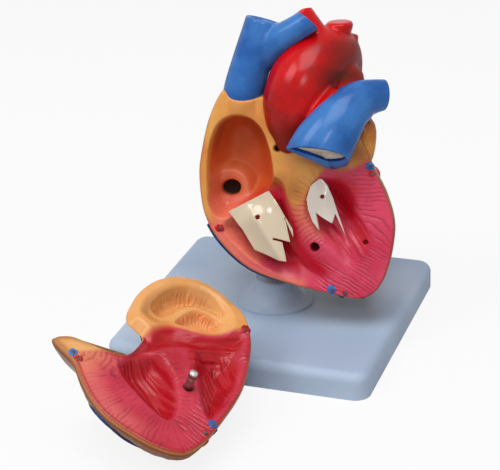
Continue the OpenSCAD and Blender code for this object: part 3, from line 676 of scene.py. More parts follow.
rearColour = {
    "muscle": [(-27.3, 1), (-20.3, -0.2), (-15.2, 0), (-13.8, 5.6), (-3.2, 11.5), (5.1, 16.4),
               (7.8, 18.3), (11.6, 15.7), (15.3, 9.8), (18.9, 12.2), (21.6, 16.9),
               (24.3, 21.6), (27.9, 25.8), (32.4, 27.3), (37.4, 26.5), (42.4, 27.6),
               (46.9, 30), (50.9, 31.4), (64.1, 27.3), (66.4, -37), (-27.3, -36.2)],
    "deepRight": [(7.9, 17.4), (11.6, 13.8), (15.8, 5.7), (19.1, -2.6), (21.9, -7.5),
                  (25.2, -12.5), (29.9, -16.1), (33.1, -19.7), (30.9, -22.6), (23, -21),
                  (12.4, -19.5), (1.7, -14.3), (-4.9, -9.9), (-7.2, -5.3), (-4, -0.1),
                  (1.5, 9.3)],
    "deepLeft": [(30.7, 22.7), (35.4, 23.6), (41, 22.4), (44.6, 19), (45.2, 13), (43, 7),
                 (40.4, 3.4), (38.2, 4.6), (36.8, 9.6), (34.2, 15.4), (31, 18.6)],
    "foldLeft": [(27.3, 5.6), (33.6, 10.4), (39.5, 10.6), (44.5, 10.7), (47.3, 6.2),
                 (50.2, 0.4), (52.1, -6), (52.2, -11.5), (46.8, -12.7), (42.2, -10.1),
                 (36.6, -8), (30.6, -4), (27.4, -0.4)],
    "septum": [(17, 22.3), (23.4, 25.2), (27.9, 26.2), (24.3, 19.3), (21.7, 12.3), (23.1, 5.9),
               (26.4, 0.5), (30.6, -4), (27.4, -6), (21.5, -6.2), (18.2, -0.7), (14.4, 6.5),
               (13.4, 14.3)],
    "salmon": [(-25.5, 0.6), (-20.3, -1.1), (-12.4, -7.4), (-3.9, -17.3), (5.4, -21.7),
               (19.4, -24.9), (19.4, -28.6), (0.8, -23.7), (-15.6, -12.2)],
    "pocket": [(24.5, 7), (26.5, 0), (32, -6), (37, -9.5), (36, -1), (34, 6)],
    "aboveFlap": [(-12.5, 5), (-6, 8.5), (0.5, 12.5), (3.2, 16.5), (-1, 15.6), (-7, 11)],
    "shadows": [(26, 31.5, 15, 5, 1.0), (46, 34, 6, 6, 1.0), (15.5, 17, 4, 5, 0.8),
                (10.5, 21, 3.5, 5, 0.6)],
    "soft": {"muscle": 1.8, "septum": 2.4, "salmon": 3.0, "deepRight": 4.0, "deepLeft": 2.6,
             "foldLeft": 2.5, "pocket": 1.6, "aboveFlap": 1.6},  # width of each border
    "shadowShare": 0.58,
    "emberShare": 0.85,
    "emberFade": (0.4, 0.65),  # low in the half, and round the mouth
    "glowShare": 0.9,
    "glowFade": 0.75,
    "lowShare": 0.85,
    "lowFade": 0.8,
    "salmonShare": 0.9,
    "septumShare": 0.45,
    "deepShare": 0.9,
    "foldShare": (0.2, 0.65),  # all over the left folds, and more in their creases as painted shade
    "ridgeHighlightShare": 0.12,
    "pocketShare": 0.6,
    "topShare": 0.22,
    "underShare": 0.5,
    "edgeShare": (0.35, 0.4),  # painted shade along the rim, and more at the apex
    "holeShadeShare": (0.6, 0.35),  # painted shade in the pin's hole and in the pit
}
shell = {
    "around": 620,
    "across": 116,
    "behind": 34,
    "crowding": 0.92,
    "outlineSteps": 240,
}


# One half of the heart: a carved face and a rounded skin behind it.
def halfHeart(name, spec, outline, field, skin, material, sign):
    centre = np.array(spec["centre"], float)
    around, across, behind = shell["around"], shell["across"], shell["behind"]
    loop = evenly(outline, around)
    shares = np.linspace(0, 1, across + 1)[1:] ** shell["crowding"]
    uv = np.vstack([centre[None]] + [centre + (loop - centre) * s for s in shares])
    gap, run = nearOutline(uv, evenly(outline, shell["outlineSteps"]))
    gap = np.maximum(gap, 0)
    rim = spec["rim"]
    lip = rim - np.sqrt(np.maximum(rim ** 2 - np.maximum(rim - gap, 0) ** 2, 0))
    depth, masks = field(uv, gap, run)
    depth = np.where(depth > 0, depth * smooth(gap / 1.2), depth) + lip
    size, reach = spec["fall"]  # the left lobe's face falls off towards its edge
    lobe = past(uv[:, 1], 4, 10) * (1 - past(uv[:, 0], 19, 5))
    lobe = lobe * (0.5 + 0.5 * past(uv[:, 0], 4, 8))
    depth = depth + size * smooth((reach - gap) / reach) ** 1.6 * lobe
    drop = np.maximum(depth[-around:] - rim, 0)
    points = [np.stack([uv[:, 0], sign * depth, uv[:, 1]], axis=1)]
    first = math.degrees(math.asin(min(rim / spec["depth"], 1) ** (1 / spec["taper"])))
    for k in range(1, behind + 1):
        share = k / (behind + 1)
        a = math.radians(first + (90 - first) * share)
        ring = centre + (loop - centre) * (math.cos(a) + spec["swell"] * math.sin(2 * a))
        y = spec["depth"] * math.sin(a) ** spec["taper"] + drop * (1 - share) ** 2
        points.append(skin(np.stack([ring[:, 0], sign * y, ring[:, 1]], axis=1), loop, a, share))
    points = np.vstack(points + [np.array([[centre[0], sign * spec["depth"], centre[1]]])])
    rings = across + behind
    last, end = 1 + (rings - 1) * around, len(points) - 1
    faces = [(0, 1 + i, 1 + (i + 1) % around) for i in range(around)]
    for k in range(rings - 1):
        faces += ringFaces(1 + k * around, 1 + (k + 1) * around, around)
    faces += [(last + i, end, last + (i + 1) % around) for i in range(around)]
    # The skin is orange all over, with a brown painted shade that fades out behind the rim.
    extra = len(points) - len(uv)
    edge = spec["edgeShade"][0] + spec["edgeShade"][1] * past(loop[:, 0], 42, 12)
    edge = edge * (1 - spec["paler"] * past(loop[:, 1], 6, 8) * (loop[:, 0] < 32))
    faded = [edge * max(0, 1 - spec["fade"] * k / behind) for k in range(1, behind + 1)]
    tails = {"orange": np.ones(extra), "brown": np.concatenate(faded + [np.zeros(1)])}
    masks = {key: np.concatenate([values, tails.get(key, np.zeros(extra))])
             for key, values in masks.items()}
    return newPiece(name, points, faces, material, masks)


# The face's depth at each point, and how much of each paint lies there.
def rearField(uv, gap, run):
    spec, carve, paint = rearHalf, rearCarving, rearColour
    u, v = uv[:, 0], uv[:, 1]
    ra, _ = nearOutline(uv, closedCurve(spec["atrium"], 4))
    rv, _ = nearOutline(uv, closedCurve(spec["rightVentricle"], 4))
    lv, lvRun = nearOutline(uv, closedCurve(spec["leftVentricle"], 4))
    gate, _ = nearOutline(uv, closedCurve(spec["gate"], 4))

    # Chambers, and the way from the atrium to the right ventricle behind the flap.
    depth = bowl(ra, *carve["atrium"])
    inAtrium = past(depth, 2.0, 3.0)
    rvSlope = before(u, 20, 14)
    rightDeep = carve["rightFloor"][0] + carve["rightFloor"][1] * rvSlope
    rightRim = carve["rightRim"][0] - carve["rightRim"][1] * rvSlope
    depth = depth + bowl(rv, rightDeep, carve["rightWide"], rightRim, carve["rightPower"])
    lvSlope = past(v, -14, 26)
    leftDeep = carve["leftFloor"][0] + carve["leftFloor"][1] * lvSlope
    depth = depth + bowl(lv, leftDeep, carve["leftWide"], carve["leftRim"], carve["leftPower"])
    depth = np.maximum(depth, bowl(gate, *carve["gate"]))
    inFold = paintPatch(uv, paint, "foldLeft")
    crease = folds(uv, *carve["leftFolds"])
    rightCrease = folds(uv, *carve["rightFolds"])
    depth = depth + carve["creaseDeep"] * crease * np.maximum(inFold, smooth(lv / 5))
    depth = depth + carve["creaseDeep"] * rightCrease * past(rv, 1, 4)
    depth = depth + carve["rippleDeep"] * folds(uv, *carve["ripples"]) * smooth(ra / 6)

    # The vein's mouth in the atrium: a level floor with two rings round a hollow whose darkness is
    # a painted shade.
    du, dv = u - spec["veinMouth"][0], v - spec["veinMouth"][1]
    mouth = np.hypot(du, dv)
    oval = np.hypot(du - 0.1 * dv, 1.22 * dv) + 0.7 * (noise2(u / 3, v / 3, 57) - 0.5)
    nearMouth = before(mouth, 13, 6)
    level = -1.6 * np.log(np.exp(-depth / 1.6) + math.exp(-carve["mouthFloor"] / 1.6))
    depth = depth * (1 - nearMouth) + level * nearMouth
    inRa = past(ra, -1, 3)
    for high, out, wide in (carve["mouthRing"], carve["mouthStep"]):
        depth = depth - high * np.exp(-((mouth - out) / wide) ** 2) * inRa
    hollow = smooth((carve["mouthR"] - oval) / 0.8)
    depth = depth + carve["mouthDeep"] * hollow

    pin = spot(uv, spec["pinHole"], carve["pinHole"][0], 0.5)
    pit = spot(uv, spec["pit"], carve["pit"][0], 0.7)
    root = spot(uv, spec["rootHole"], carve["rootHole"][0], 0.8)
    depth = depth * (1 - pin) + carve["pinHole"][1] * pin
    depth = depth + carve["pit"][1] * pit + carve["rootHole"][1] * root

    # Orange paint above, pink muscle below, and fine dark strokes in the muscle.
    muscle = paintPatch(uv, paint, "muscle")
    septum = paintPatch(uv, paint, "septum")
    orange = np.clip(1 - muscle + septum * past(v, -6, 30), 0, 1)
    slope = 0.55 * before(v, 12, 20)
    wallLines = lines(v + slope * (u - 40), u - slope * v, *carve["wallStrokes"])
    wallLines = wallLines * before(gap, 17, 6) * smooth(gap / 1.5)
    leftLines = lines(lvRun, -lv, *carve["leftStrokes"]) * past(lv, -10, 3)
    leftLines = leftLines * smooth(-lv / 1.5) * before(u, 32, 5)
    stroke = np.maximum(wallLines * past(u, 22, 8), leftLines)
    stroke = stroke * np.maximum(muscle, septum) * (1 - smooth(rv / 1.5))
    stroke = stroke * (1 - smooth(lv / 3)) * (1 - before(u, 12, 8))
    stroke = stroke * (1 - 0.35 * orange)
    depth = depth + carve["strokeDeep"] * stroke * (1 - pin)

    # The face rises to the upper vein's foot.
    reach = np.maximum(carve["sleeveR"] ** 2 - (u - carve["sleeveSpot"][0]) ** 2, 0)
    veinFront = carve["sleeveSpot"][1] - np.sqrt(reach)
    rise = past(v, 46, 11) * before(u, 6, 8)
    depth = depth * (1 - rise) + np.minimum(veinFront, 0.2) * rise

    # Salmon along the lower rim and round the mouth, deep red in the hollows.
    salmon = paintPatch(uv, paint, "salmon") * paint["salmonShare"] + septum * paint["septumShare"]
    low = before(v, 15, 9) * past(gap, 2.2, 2) * before(u, 4, 6)
    glow = np.exp(-((mouth - 7.5) / 4.0) ** 2)
    orange = orange * (1 - paint["lowFade"] * low) * (1 - paint["glowFade"] * glow * inAtrium)
    salmon = np.maximum(salmon, paint["lowShare"] * low)
    salmon = np.maximum(salmon, paint["glowShare"] * glow * inAtrium)
    deep = np.maximum(paintPatch(uv, paint, "deepRight"), paintPatch(uv, paint, "deepLeft"))
    inLeft = np.maximum(inFold, smooth(lv / 4))
    # In the left folds, the creases take more deep red as a painted shade, and the ridges lighter
    # salmon as a painted highlight.
    flat, creased = paint["foldShare"]
    deep = deep * paint["deepShare"] + (flat + creased * smooth(crease * 5)) * inLeft
    deep = np.clip(deep, 0, 1)
    deep = np.maximum(deep, paint["pocketShare"] * paintPatch(uv, paint, "pocket"))
    deep = np.maximum(deep, paint["pocketShare"] * smooth(gate / 3))
    light = np.clip(paint["ridgeHighlightShare"] * smooth(-crease * 4) * inFold * (1 - deep), 0, 1)
    salmon = np.clip(np.maximum(salmon, light * muscle), 0, 1)
    deep = np.maximum(deep, paint["pocketShare"] * paintPatch(uv, paint, "aboveFlap"))

    # Ember in the atrium, and a brown painted shade at the atrium's top, under its rim, in the
    # shaded places and along the outer rim.
    lowFade, glowFade = paint["emberFade"]
    ember = np.clip(inAtrium * (paint["emberShare"] - lowFade * low) - glowFade * glow, 0, 1)
    top = past(v, 30, 14) * inAtrium
    under = np.exp(-((ra - 1.4) / 1.0) ** 2) * past(v, 26, 12)
    brown = np.maximum(top * paint["topShare"], paint["underShare"] * under)
    shade = clouds(uv, paint["shadows"])
    brown = np.maximum(brown, paint["shadowShare"] * shade * (1 - inAtrium))
    edge = before(gap, 1.0, 0.6) * (1 - past(v, 46, 6))
    rimShare, apexShare = paint["edgeShare"]
    brown = np.maximum(brown, (rimShare + apexShare * past(u, 40, 8)) * edge)
    # The holes are painted dark, a painted shade in the vein's mouth, the pin's hole, the pit and
    # the root's hole.
    pinShadeShare, pitShare = paint["holeShadeShare"]
    hole = np.maximum(np.maximum(hollow, pinShadeShare * pin), np.maximum(root, pitShare * pit))
    return depth, {"orange": np.where(gap < 0.35, 1, orange), "salmon": salmon, "ember": ember,
                   "deep": deep, "brown": brown, "stroke": stroke, "hole": hole}


# How far the skin bulges out beside the apex.
def bulgeOut(size, u, a):
    return size * past(u, 38, 14) * math.sin(min(2.2 * a, math.pi))


# A skin with soft hand-made unevenness. Tuck draws in the underside of the left lobe.
def lumpySkin(size, seed, bulge, tuck=0.0):
    def skin(ring, loop, a, share):
        turn = np.arange(len(loop)) / len(loop) * 64
        n = noise2(turn, np.full(len(loop), share * 7.0), seed) - 0.5
        n = n + 0.5 * (noise2(turn * 2, np.full(len(loop), share * 15.0), seed + 1) - 0.5)
        middle = ring.mean(axis=0)
        out = ring - middle
        out = out / np.maximum(np.linalg.norm(out, axis=1, keepdims=True), 1e-6)
        grow = size * n * smooth(share * 4) * smooth((1 - share) * 3)
        grow = grow + bulgeOut(bulge, loop[:, 0], a)
        ring = ring + out * grow[:, None]
        under = past(loop[:, 0], 6, 8) * past(loop[:, 1], 22, 5) * (loop[:, 0] < 26)
        ring[:, 0] -= tuck * under * smooth(share * 5) * smooth((1 - share) * 2)
        return ring
    return skin


rearOutline = oneWay(closedCurve(rearHalf["outline"], 8))
rear = halfHeart("rearHalf", rearHalf, rearOutline, rearField,
                 lumpySkin(0.8, 71, rearHalf["bulge"]), rearPaint, 1)
place(rear, atHeart, "heart", "skin_orange", "heart_body", "pin_sleeve")
print("rear half", len(rear.data.vertices))

# The loose front wall, seen on its carved inner face.
frontWall = {
    "outline": [(53.5, 42.1), (46.7, 39.6), (43, 32.8), (40, 26.1), (36.9, 20.3), (32.5, 18.1),
                (26.2, 19), (20.4, 21.6), (19.6, 27), (19.2, 32), (14, 36.6), (3, 40.4),
                (-7.4, 40.8), (-16.6, 37.4), (-23.5, 30), (-26.2, 21), (-26.1, 11.3), (-24, 3),
                (-21.2, -1.8), (-15.6, -8.5), (-8.1, -14.5), (4.3, -22.3), (15, -26.6),
                (29.2, -30.3), (39.4, -32.4), (49.1, -32.2), (54.6, -28.6), (58.6, -22),
                (61.8, -12), (63.8, 0), (62.6, 10.4), (58.8, 20.4), (54.9, 29)],
    "proud": 1.025,
    "centre": (20, -4),
    "depth": 30,
    "edgeShade": (1.0, 0.0),
    "fade": 0.5,
    "paler": 0.55,
    "fall": (3.0, 6.0),
    "tuck": 8,
    "swell": 0.06,
    "bulge": 1.0,
    "taper": 1.8,
    "rim": 1.0,
    "bowl": [(9.6, 32), (3, 34.8), (-6.4, 34.6), (-14.4, 31.6), (-20, 26.5), (-22.2, 19.6),
             (-21.4, 12), (-17, 5), (-11.4, 3), (-6.4, 5), (-2, 10), (2, 16), (5.6, 20),
             (9.4, 25.6)],
    "basin1": [(4.2, 32.2), (-0.8, 34), (-8, 34.2), (-15, 31.2), (-19.8, 26), (-21.6, 19.8),
               (-20.6, 13.2), (-18.8, 10), (-17.3, 16.5), (-13.7, 21.9), (-7.6, 24.6),
               (-0.9, 25.2), (3.9, 27)],
    "basin2": [(1.1, 20), (-5.8, 21.1), (-11.1, 19.9), (-14.1, 15.9), (-15.5, 8.7),
               (-13, 6.1), (-6.5, 8), (-2.2, 13.4)],
    "outflow": [(31.5, 16.8), (24.7, 17.6), (19, 20.4), (12.3, 21.3), (6.6, 19), (3.5, 15.4),
                (-0.6, 8.3), (-5.4, 3.6), (-12.6, -0.2), (-16.2, -4.2), (-12.2, -8), (-6, -9),
                (-3.3, -6), (1, -1.6), (5.7, 2.5), (10.3, 7.2), (16.5, 11.6), (24.6, 14.4)],
    "leftVentricle": [(41.4, 17), (37.6, 17.6), (31.6, 16.4), (26, 14), (23.6, 10.2),
                      (23.8, 5.1), (26.5, -1.4), (31.3, -7.7), (36.8, -13.5), (42.1, -16),
                      (45.3, -15.6), (46.2, -11.4), (46.2, -5.2), (45.4, 3), (44, 11)],
    "rightVentricle": [(6.9, 1.3), (1.3, -0.7), (-3.5, -4.1), (-6.2, -9.5), (-2.6, -15.7),
                       (4.8, -20.5), (13, -23.2), (22.2, -25.6), (29.3, -26.8), (29.1, -23.7),
                       (25, -17.6), (18.9, -10.2), (13.4, -3.5)],
    "pinHole": (25.9, -9.4),
    "arteries": [(-19.4, -2.2, 1.9), (37.8, -30.2, 1.5), (53, 29.4, 1.6)],
    "veins": [(32, -29.2, 2.0), (52.6, 33.4, 1.9)],
}
wallCarving = {
    "auricle": (3.8, 6, 3.0, 2.0),  # deep, wide, rim and how soon it levels out
    "basin1": (5.0, 5, 1.0, 2.0),
    "basin2": (4.5, 4.5, 0.8, 2.0),
    "outflow": (4.6, 9, 3.0, 2.0),
    "leftVentricle": (9.0, 9, 1.2, 1.7),
    "rightVentricle": (9.0, 11, 2.2, 2.0),
    "combSpacing": 2.1,
    "combHigh": 0.8,
    "ribs": (-80, 1.5, 17, 83),  # angle, across, along, seed
    "streaks": (36, 1.3, 17, 91),
    "creases": (-60, 1.7, 13, 87),
    "ribDeep": 2.6,
    "cordDeep": 1.9,
    "creaseDeep": 2.4,
    "pinR": 2.3,
    "pinRing": 0.4,
    "bandStrokes": (2.2, 7.0, 97, 0.45, 0.3, 5),  # spacing, length, seed, waves, gaps, sharp
    "arcStrokes": (2.2, 6.0, 101, 0.4, 0.35, 5),
    "strokeDeep": 0.3,
}
wallColour = {
    "atrial": [(30, 44), (22, 24), (14, 22.6), (6.6, 20.2), (2.8, 16.2), (-1.6, 9), (-6.4, 4.6),
               (-13, 1.4), (-19, -1.5), (-32, -4), (-34, 46)],
    "tail": [(62, 48), (44, 46), (38, 24), (42.5, 27), (48, 30.5), (52.5, 33), (60, 36)],
    # A painted shade in the auricle's hollow.
    "hollow": [(-20, 23, 5, 8, 1.0)],
    "glow": [(12, 18.6, 8, 3, 0.6)],
    "soft": {"atrial": 1.4, "tail": 1.6},
    "orangeShare": 0.35,
    "salmonShare": 0.75,
    "ribHighlightShare": 0.5,
    "leftShare": 0.85,
    "rightShare": 0.9,
    "cordShare": 0.85,
    "middleShare": 0.55,
    "lipShare": 0.75,
    "streakHighlightFade": 0.45,
    "emberShare": (0.3, 0.08, 0.5),  # in the second basin, in the first, and on the sill under the crest as a painted shade
    "combShare": (0.14, 0.1),
    "hollowShadeShare": 0.26,
    "edgeShare": 0.6,
    "underShare": 0.6,
    # Dark paint round the pin's foot, a painted shade.
    "pinShadeShare": 0.7,
}


def wallField(uv, gap, run):
    spec, carve, paint = frontWall, wallCarving, wallColour
    u, v = uv[:, 0], uv[:, 1]
    main, _ = nearOutline(uv, closedCurve(spec["bowl"], 4))
    b1, run1 = nearOutline(uv, closedCurve(spec["basin1"], 4))
    b2, run2 = nearOutline(uv, closedCurve(spec["basin2"], 4))
    out, _ = nearOutline(uv, closedCurve(spec["outflow"], 4))
    lv, lvRun = nearOutline(uv, closedCurve(spec["leftVentricle"], 4))
    rv, _ = nearOutline(uv, closedCurve(spec["rightVentricle"], 4))

    # The auricle with its two combed basins.
    combs = []
    for basin, along, seed in ((b1, run1, 5), (b2, run2, 6)):
        wander = 1.5 * noise2(along / 3, basin / 1.6, seed)
        combs.append(0.5 + 0.5 * np.cos(2 * math.pi * (along / carve["combSpacing"] + wander)))
    depth = bowl(main, *carve["auricle"])
    depth = depth + bowl(b1, *carve["basin1"]) + bowl(b2, *carve["basin2"])
    depth = depth - carve["combHigh"] * combs[0] * smooth(b1 / 1.0) * before(b1, 7, 5)
    depth = depth - carve["combHigh"] * combs[1] * smooth(b2 / 1.0) * before(b2, 6, 4)

    # The outflow and both ventricles, with ribs, cords and creases.
    depth = depth + bowl(out, *carve["outflow"])
    depth = depth + bowl(lv, *carve["leftVentricle"]) + bowl(rv, *carve["rightVentricle"])
    ribs = folds(uv, *carve["ribs"])
    depth = depth + carve["ribDeep"] * ribs * smooth(lv / 2.5)
    cords = past(rv, -6, 4) * before(v, 13, 6) * before(u, 22, 8)
    cords = cords * (1 - smooth(main / 2 + 0.5)) * past(gap, 2, 3)
    cords = np.maximum(cords, 0.7 * smooth(out / 3) * before(u, 16, 10))
    cords = cords * past(v, -9, 5)
    streak = folds(uv, *carve["streaks"])
    crease = folds(uv, *carve["creases"])
    depth = depth + carve["cordDeep"] * streak * cords
    depth = depth + carve["creaseDeep"] * crease * smooth(rv / 2.5) * (1 - cords)
    depth = np.maximum(depth, -0.2)
    pin = spot(uv, spec["pinHole"], carve["pinR"], 0.3)

    # Fine dark strokes in the thick wall.
    atrial = paintPatch(uv, paint, "atrial")
    tail = paintPatch(uv, paint, "tail")
    bandLines = lines(run, gap, *carve["bandStrokes"])
    bandLines = bandLines * before(gap, 16, 5) * smooth(gap / 1.5)
    arcs = lines(lvRun, -lv, *carve["arcStrokes"])
    arcs = arcs * past(lv, -7, 3)
    stroke = np.maximum(bandLines, 0.6 * arcs) * (1 - smooth(lv / 2 + 0.6))
    stroke = stroke * (1 - smooth(rv / 2 + 0.6)) * (1 - smooth(out / 2 + 0.8))
    stroke = stroke * (1 - atrial) * (1 - tail) * (1 - 0.7 * cords)
    stroke = stroke * (1 - 0.6 * past(u, 50, 6) * past(v, 2, 8))
    depth = depth + carve["strokeDeep"] * stroke
    depth = depth * (1 - pin) + carve["pinRing"] * pin

    # Orange on the auricle and the tail, salmon towards the edge, deep red in the hollows, and
    # lighter paint on the rib and cord tops as a painted highlight.
    orange = np.maximum(atrial, tail)
    corner = past(v, 14, 18) * past(u, 36, 8)
    orange = np.maximum(orange, paint["orangeShare"] * corner)
    orange = np.where(gap < 0.3, 1, orange)
    salmon = paint["salmonShare"] * past(u, 36, 14) * before(gap, 12, 9)
    salmon = salmon * past(v, -24, 24)
    salmon = np.maximum(salmon, paint["ribHighlightShare"] * smooth(-ribs * 4 - 0.3) * smooth(lv / 2))
    deep = np.maximum(paint["leftShare"] * past(lv, -0.5, 2),
                      paint["rightShare"] * past(rv, -0.5, 3))
    deep = np.maximum(deep, past(out, -0.8, 2.5) * (1 - atrial))
    deep = np.maximum(deep, paint["cordShare"] * cords)
    fromMiddle = np.hypot(u - 27, v - 8)
    deep = np.maximum(deep, paint["middleShare"] * before(fromMiddle, 14, 6) * (1 - atrial))
    lipLine = np.exp(-((gap - 1.4) / 0.5) ** 2) * (1 - atrial) * (1 - tail)
    deep = np.maximum(deep, paint["lipShare"] * lipLine)
    deep = deep * (1 - paint["streakHighlightFade"] * smooth(streak * -5) * cords)

    # Ember in the auricle, a brown painted shade in its comb grooves and hollow, and more along
    # the rim and under the tail.
    second, first, sill = paint["emberShare"]
    ember = second * smooth(b2 / 2) * before(u, 6, 6) + first * smooth(b1 / 2)
    ember = np.maximum(ember, sill * np.exp(-((b2 - 0.9) / 1.0) ** 2) * past(v, 8, 6))
    ember = np.maximum(ember, clouds(uv, paint["glow"]))
    share1, share2 = paint["combShare"]
    brown = share1 * (1 - combs[0]) * smooth(b1 / 1.0)
    brown = brown + share2 * (1 - combs[1]) * smooth(b2 / 1.0)
    ring = np.exp(-((main - 0.8) / 1.8) ** 2) * past(v, 24, 8)
    hollow = np.maximum(clouds(uv, paint["hollow"]), ring)
    brown = np.maximum(brown, paint["hollowShadeShare"] * hollow)
    under = past(u, 40, 8) * past(v, 24, 5) * np.exp(-((gap - 0.6) / 1.6) ** 2)
    edge = paint["edgeShare"] * before(gap, 1.2, 0.6) * (1 - atrial)
    brown = np.maximum(brown, np.maximum(edge, paint["underShare"] * under))
    return depth, {"orange": orange, "salmon": np.clip(salmon, 0, 1), "ember": ember,
                   "deep": np.clip(deep, 0, 1), "brown": brown, "stroke": stroke,
                   "hole": paint["pinShadeShare"] * pin}


wallMiddle = np.array(frontWall["centre"], float)


# The wall stands a little proud of the outline that both halves share.
def proudOutline(steps):
    outline = oneWay(closedCurve(frontWall["outline"], steps))
    return wallMiddle + (outline - wallMiddle) * frontWall["proud"]


front = halfHeart("frontWall", frontWall, proudOutline(8), wallField,
                  lumpySkin(0.8, 73, frontWall["bulge"], frontWall["tuck"]), wallPaint, -1)
place(front, atWall, "wall", "muscle_pink", "front_wall")
print("front wall", len(front.data.vertices))

# The great vessels. A route is a row of places with a share of the vessel's width at each.
# An end is a cut's place, its way, its lip and how deep the bore goes.
upperVein = {
    "width": 19,
    "route": [(-9.3, 9, 50, 0.98), (-8.8, 7.5, 60, 0.98), (-6.1, 7, 70, 0.97),
              (-3.3, 7, 80, 0.93), (-1, 7.5, 88, 0.9), (0.4, 7.5, 93.3, 0.88)],
    "arm": [(-4, 9, 70, 0.6), (1.6, 6.8, 78, 0.74), (9, 3.6, 85, 0.7),
            (16.8, 1.5, 90.2, 0.62), (24, 1, 95, 0.6), (28, 1, 97.6, 0.6)],
    "fork": ((4.4, 7.4, 85.6), 7.2),
    "foot": ((-8, 8, 55), (0.1, 0, -1)),
    "dish": ((0.4, 7.5, 93.3), (0.2, 0.05, 1), 6.6, 3.0),
    "armEnd": ((21, 2, 93.2), (0.62, 0.25, 0.75), 1.4, 2.5),
    "relax": 22,
}
arch = {
    "width": 31,
    "route": [(11.4, 2, 33.5, 0.16), (12.1, 2, 36, 0.33), (13, 2.4, 39.4, 0.53),
              (13.9, 3, 44.6, 0.76), (15, 3.4, 50, 0.91), (16.4, 3.8, 57, 1.01),
              (20, 5.5, 67, 1.03), (25, 10, 75, 0.93), (30, 17, 78, 0.82), (32.5, 26, 75, 0.72),
              (33, 33, 66, 0.64), (32, 37, 56, 0.6), (31, 39, 46, 0.58)],
    "ledge": [(30, 2, 55), (34.5, 4.5, 61), (39, 8.5, 63.6), (44, 14, 64)],
    "ledgeR": (4.6, 4.8),
    "besideLung": slice(13, 27),  # the red band follows this stretch of the lung artery
    "bandShift": (-2.0, 2.6, 1.0),
    "bandGrow": (-2.2, 0.7),
    "balls": [((9.6, -0.6, 38.4), 2.4), ((36, 14.5, 65.5), 10), ((33, 10, 64), 9)],
    "branches": [((27, 9, 82), (16, 8, 97), 12), ((36, 22, 76), (38.5, 23, 87), 8)],
    "neck": [(32.6, 16.8, 78, 5.4), (33.2, 16.2, 84, 5.4), (33.8, 15.4, 88, 5.5),
             (34.1, 15, 90.2, 6.1), (34.2, 14.7, 92, 6.1), (34.2, 14.6, 92.6, 5.7)],
    "downEnd": ((31, 39, 47), (0, 0.45, -0.9), 1.6, 3.0),
    "branchEnd": ((18, 8, 97.9), (-0.23, 0.1, 0.97), 1.4, 1.5, 0),
    "relax": 30,
    "shadeRight": 0.66,
    "shadeUnder": [(37.5, 69, 9, 4.5, 0.95)],
    "shadeLow": 0.72,
}
lungTrunk = {
    "width": 30,
    "flat": 0.76,
    "route": [(26.4, -12.6, 31, 0.94), (30.5, -12, 39, 0.92), (35.5, -10.5, 47, 0.82),
              (40.5, -7.5, 54, 0.7), (46, -3, 58.4, 0.61), (51, 0.5, 60, 0.52),
              (58, 5.4, 60.8, 0.45)],
    "openWay": (-0.1, -0.52, -0.85),
    "openEnd": {"at": (26.6, -12.6, 33.4), "lip": 1.3, "deep": 3.0, "inner": 1,
                "narrow": 0.62, "halfHigh": 9.6},
    "farEnd": ((55.6, 3.6, 60.5), (0.8, 0.6, -0.05), 1.3, 3.0),
    "relax": 7,
}
vesselVoxel = 0.55


def route(points, width, steps=8):
    p = openCurve(points, steps)
    return p[:, :3], p[:, 3] * width / 2


def straight(a, b, d, steps=6):
    return sweep(np.linspace(a, b, steps), np.full(steps, d / 2))


# Painted shade on the aorta: darker on its right side, under the arch and at its root, where less
# light falls.
def archShade(p):
    right = arch["shadeRight"] * past(p[:, 0], 26, 15) * past(p[:, 2], 58, 10)
    right = right * (1 - past(p[:, 2], 82, 6))
    under = clouds(p[:, [0, 2]], arch["shadeUnder"])
    low = arch["shadeLow"] * before(p[:, 2], 60, 20)
    return np.clip(np.maximum(np.maximum(right, under), low), 0, 1)


# Sinks a shallow hollow with a rounded rim into a rounded end.
def dish(piece, at, way, radius, deep, soft=1.6, reach=2.5):
    co = pointsOf(piece)
    way = np.array(way, float) / np.linalg.norm(way)
    off = co - np.array(at, float)
    along = off @ way
    aside = np.linalg.norm(off - np.outer(along, way), axis=1)
    sink = deep * smooth((radius - aside) / soft) * (np.abs(along) < reach)
    setPoints(piece, co - way * sink[:, None])


upper = fuse("upperGreatVein", [sweep(*route(upperVein["route"], upperVein["width"])),
                                sweep(*route(upperVein["arm"], upperVein["width"])),
                                roundBall(*upperVein["fork"])],
             vesselVoxel, upperVein["relax"], bluePaint, boreShadeBlue)
cut(upper, *upperVein["foot"])
dish(upper, *upperVein["dish"])
cut(upper, *upperVein["armEnd"])
place(upper, atHeart, "heart", "vessel_blue", "upper_great_vein")

lungPath, lungRadii = route(lungTrunk["route"], lungTrunk["width"])
bandPath = lungPath[arch["besideLung"]] + np.array(arch["bandShift"])
bandRadii = lungRadii[arch["besideLung"]] + np.linspace(*arch["bandGrow"], len(bandPath))
ledge = openCurve(arch["ledge"], 6)
neck = openCurve(arch["neck"], 3)
red = [sweep(*route(arch["route"], arch["width"])),
       sweep(bandPath, bandRadii, lungTrunk["flat"]),
       sweep(ledge, np.linspace(*arch["ledgeR"], len(ledge)))]
red += [roundBall(*ball) for ball in arch["balls"]]
red += [straight(*branch) for branch in arch["branches"]]
red += [sweep(neck[:, :3], neck[:, 3])]
aorta = fuse("aortaArch", red, vesselVoxel, arch["relax"], redPaint, boreShadeRed)
cut(aorta, *arch["downEnd"])
cut(aorta, *arch["branchEnd"])
addMask(aorta, "shade", archShade(pointsOf(aorta)))
place(aorta, atHeart, "heart", "vessel_red", "aorta")

lung = fuse("lungArtery", [sweep(lungPath, lungRadii, lungTrunk["flat"])], vesselVoxel,
            lungTrunk["relax"], bluePaint, boreShadeBlue)
valveRing = cut(lung, way=lungTrunk["openWay"], **lungTrunk["openEnd"])
cut(lung, *lungTrunk["farEnd"])
place(lung, atHeart, "heart", "vessel_blue", "lung_artery")

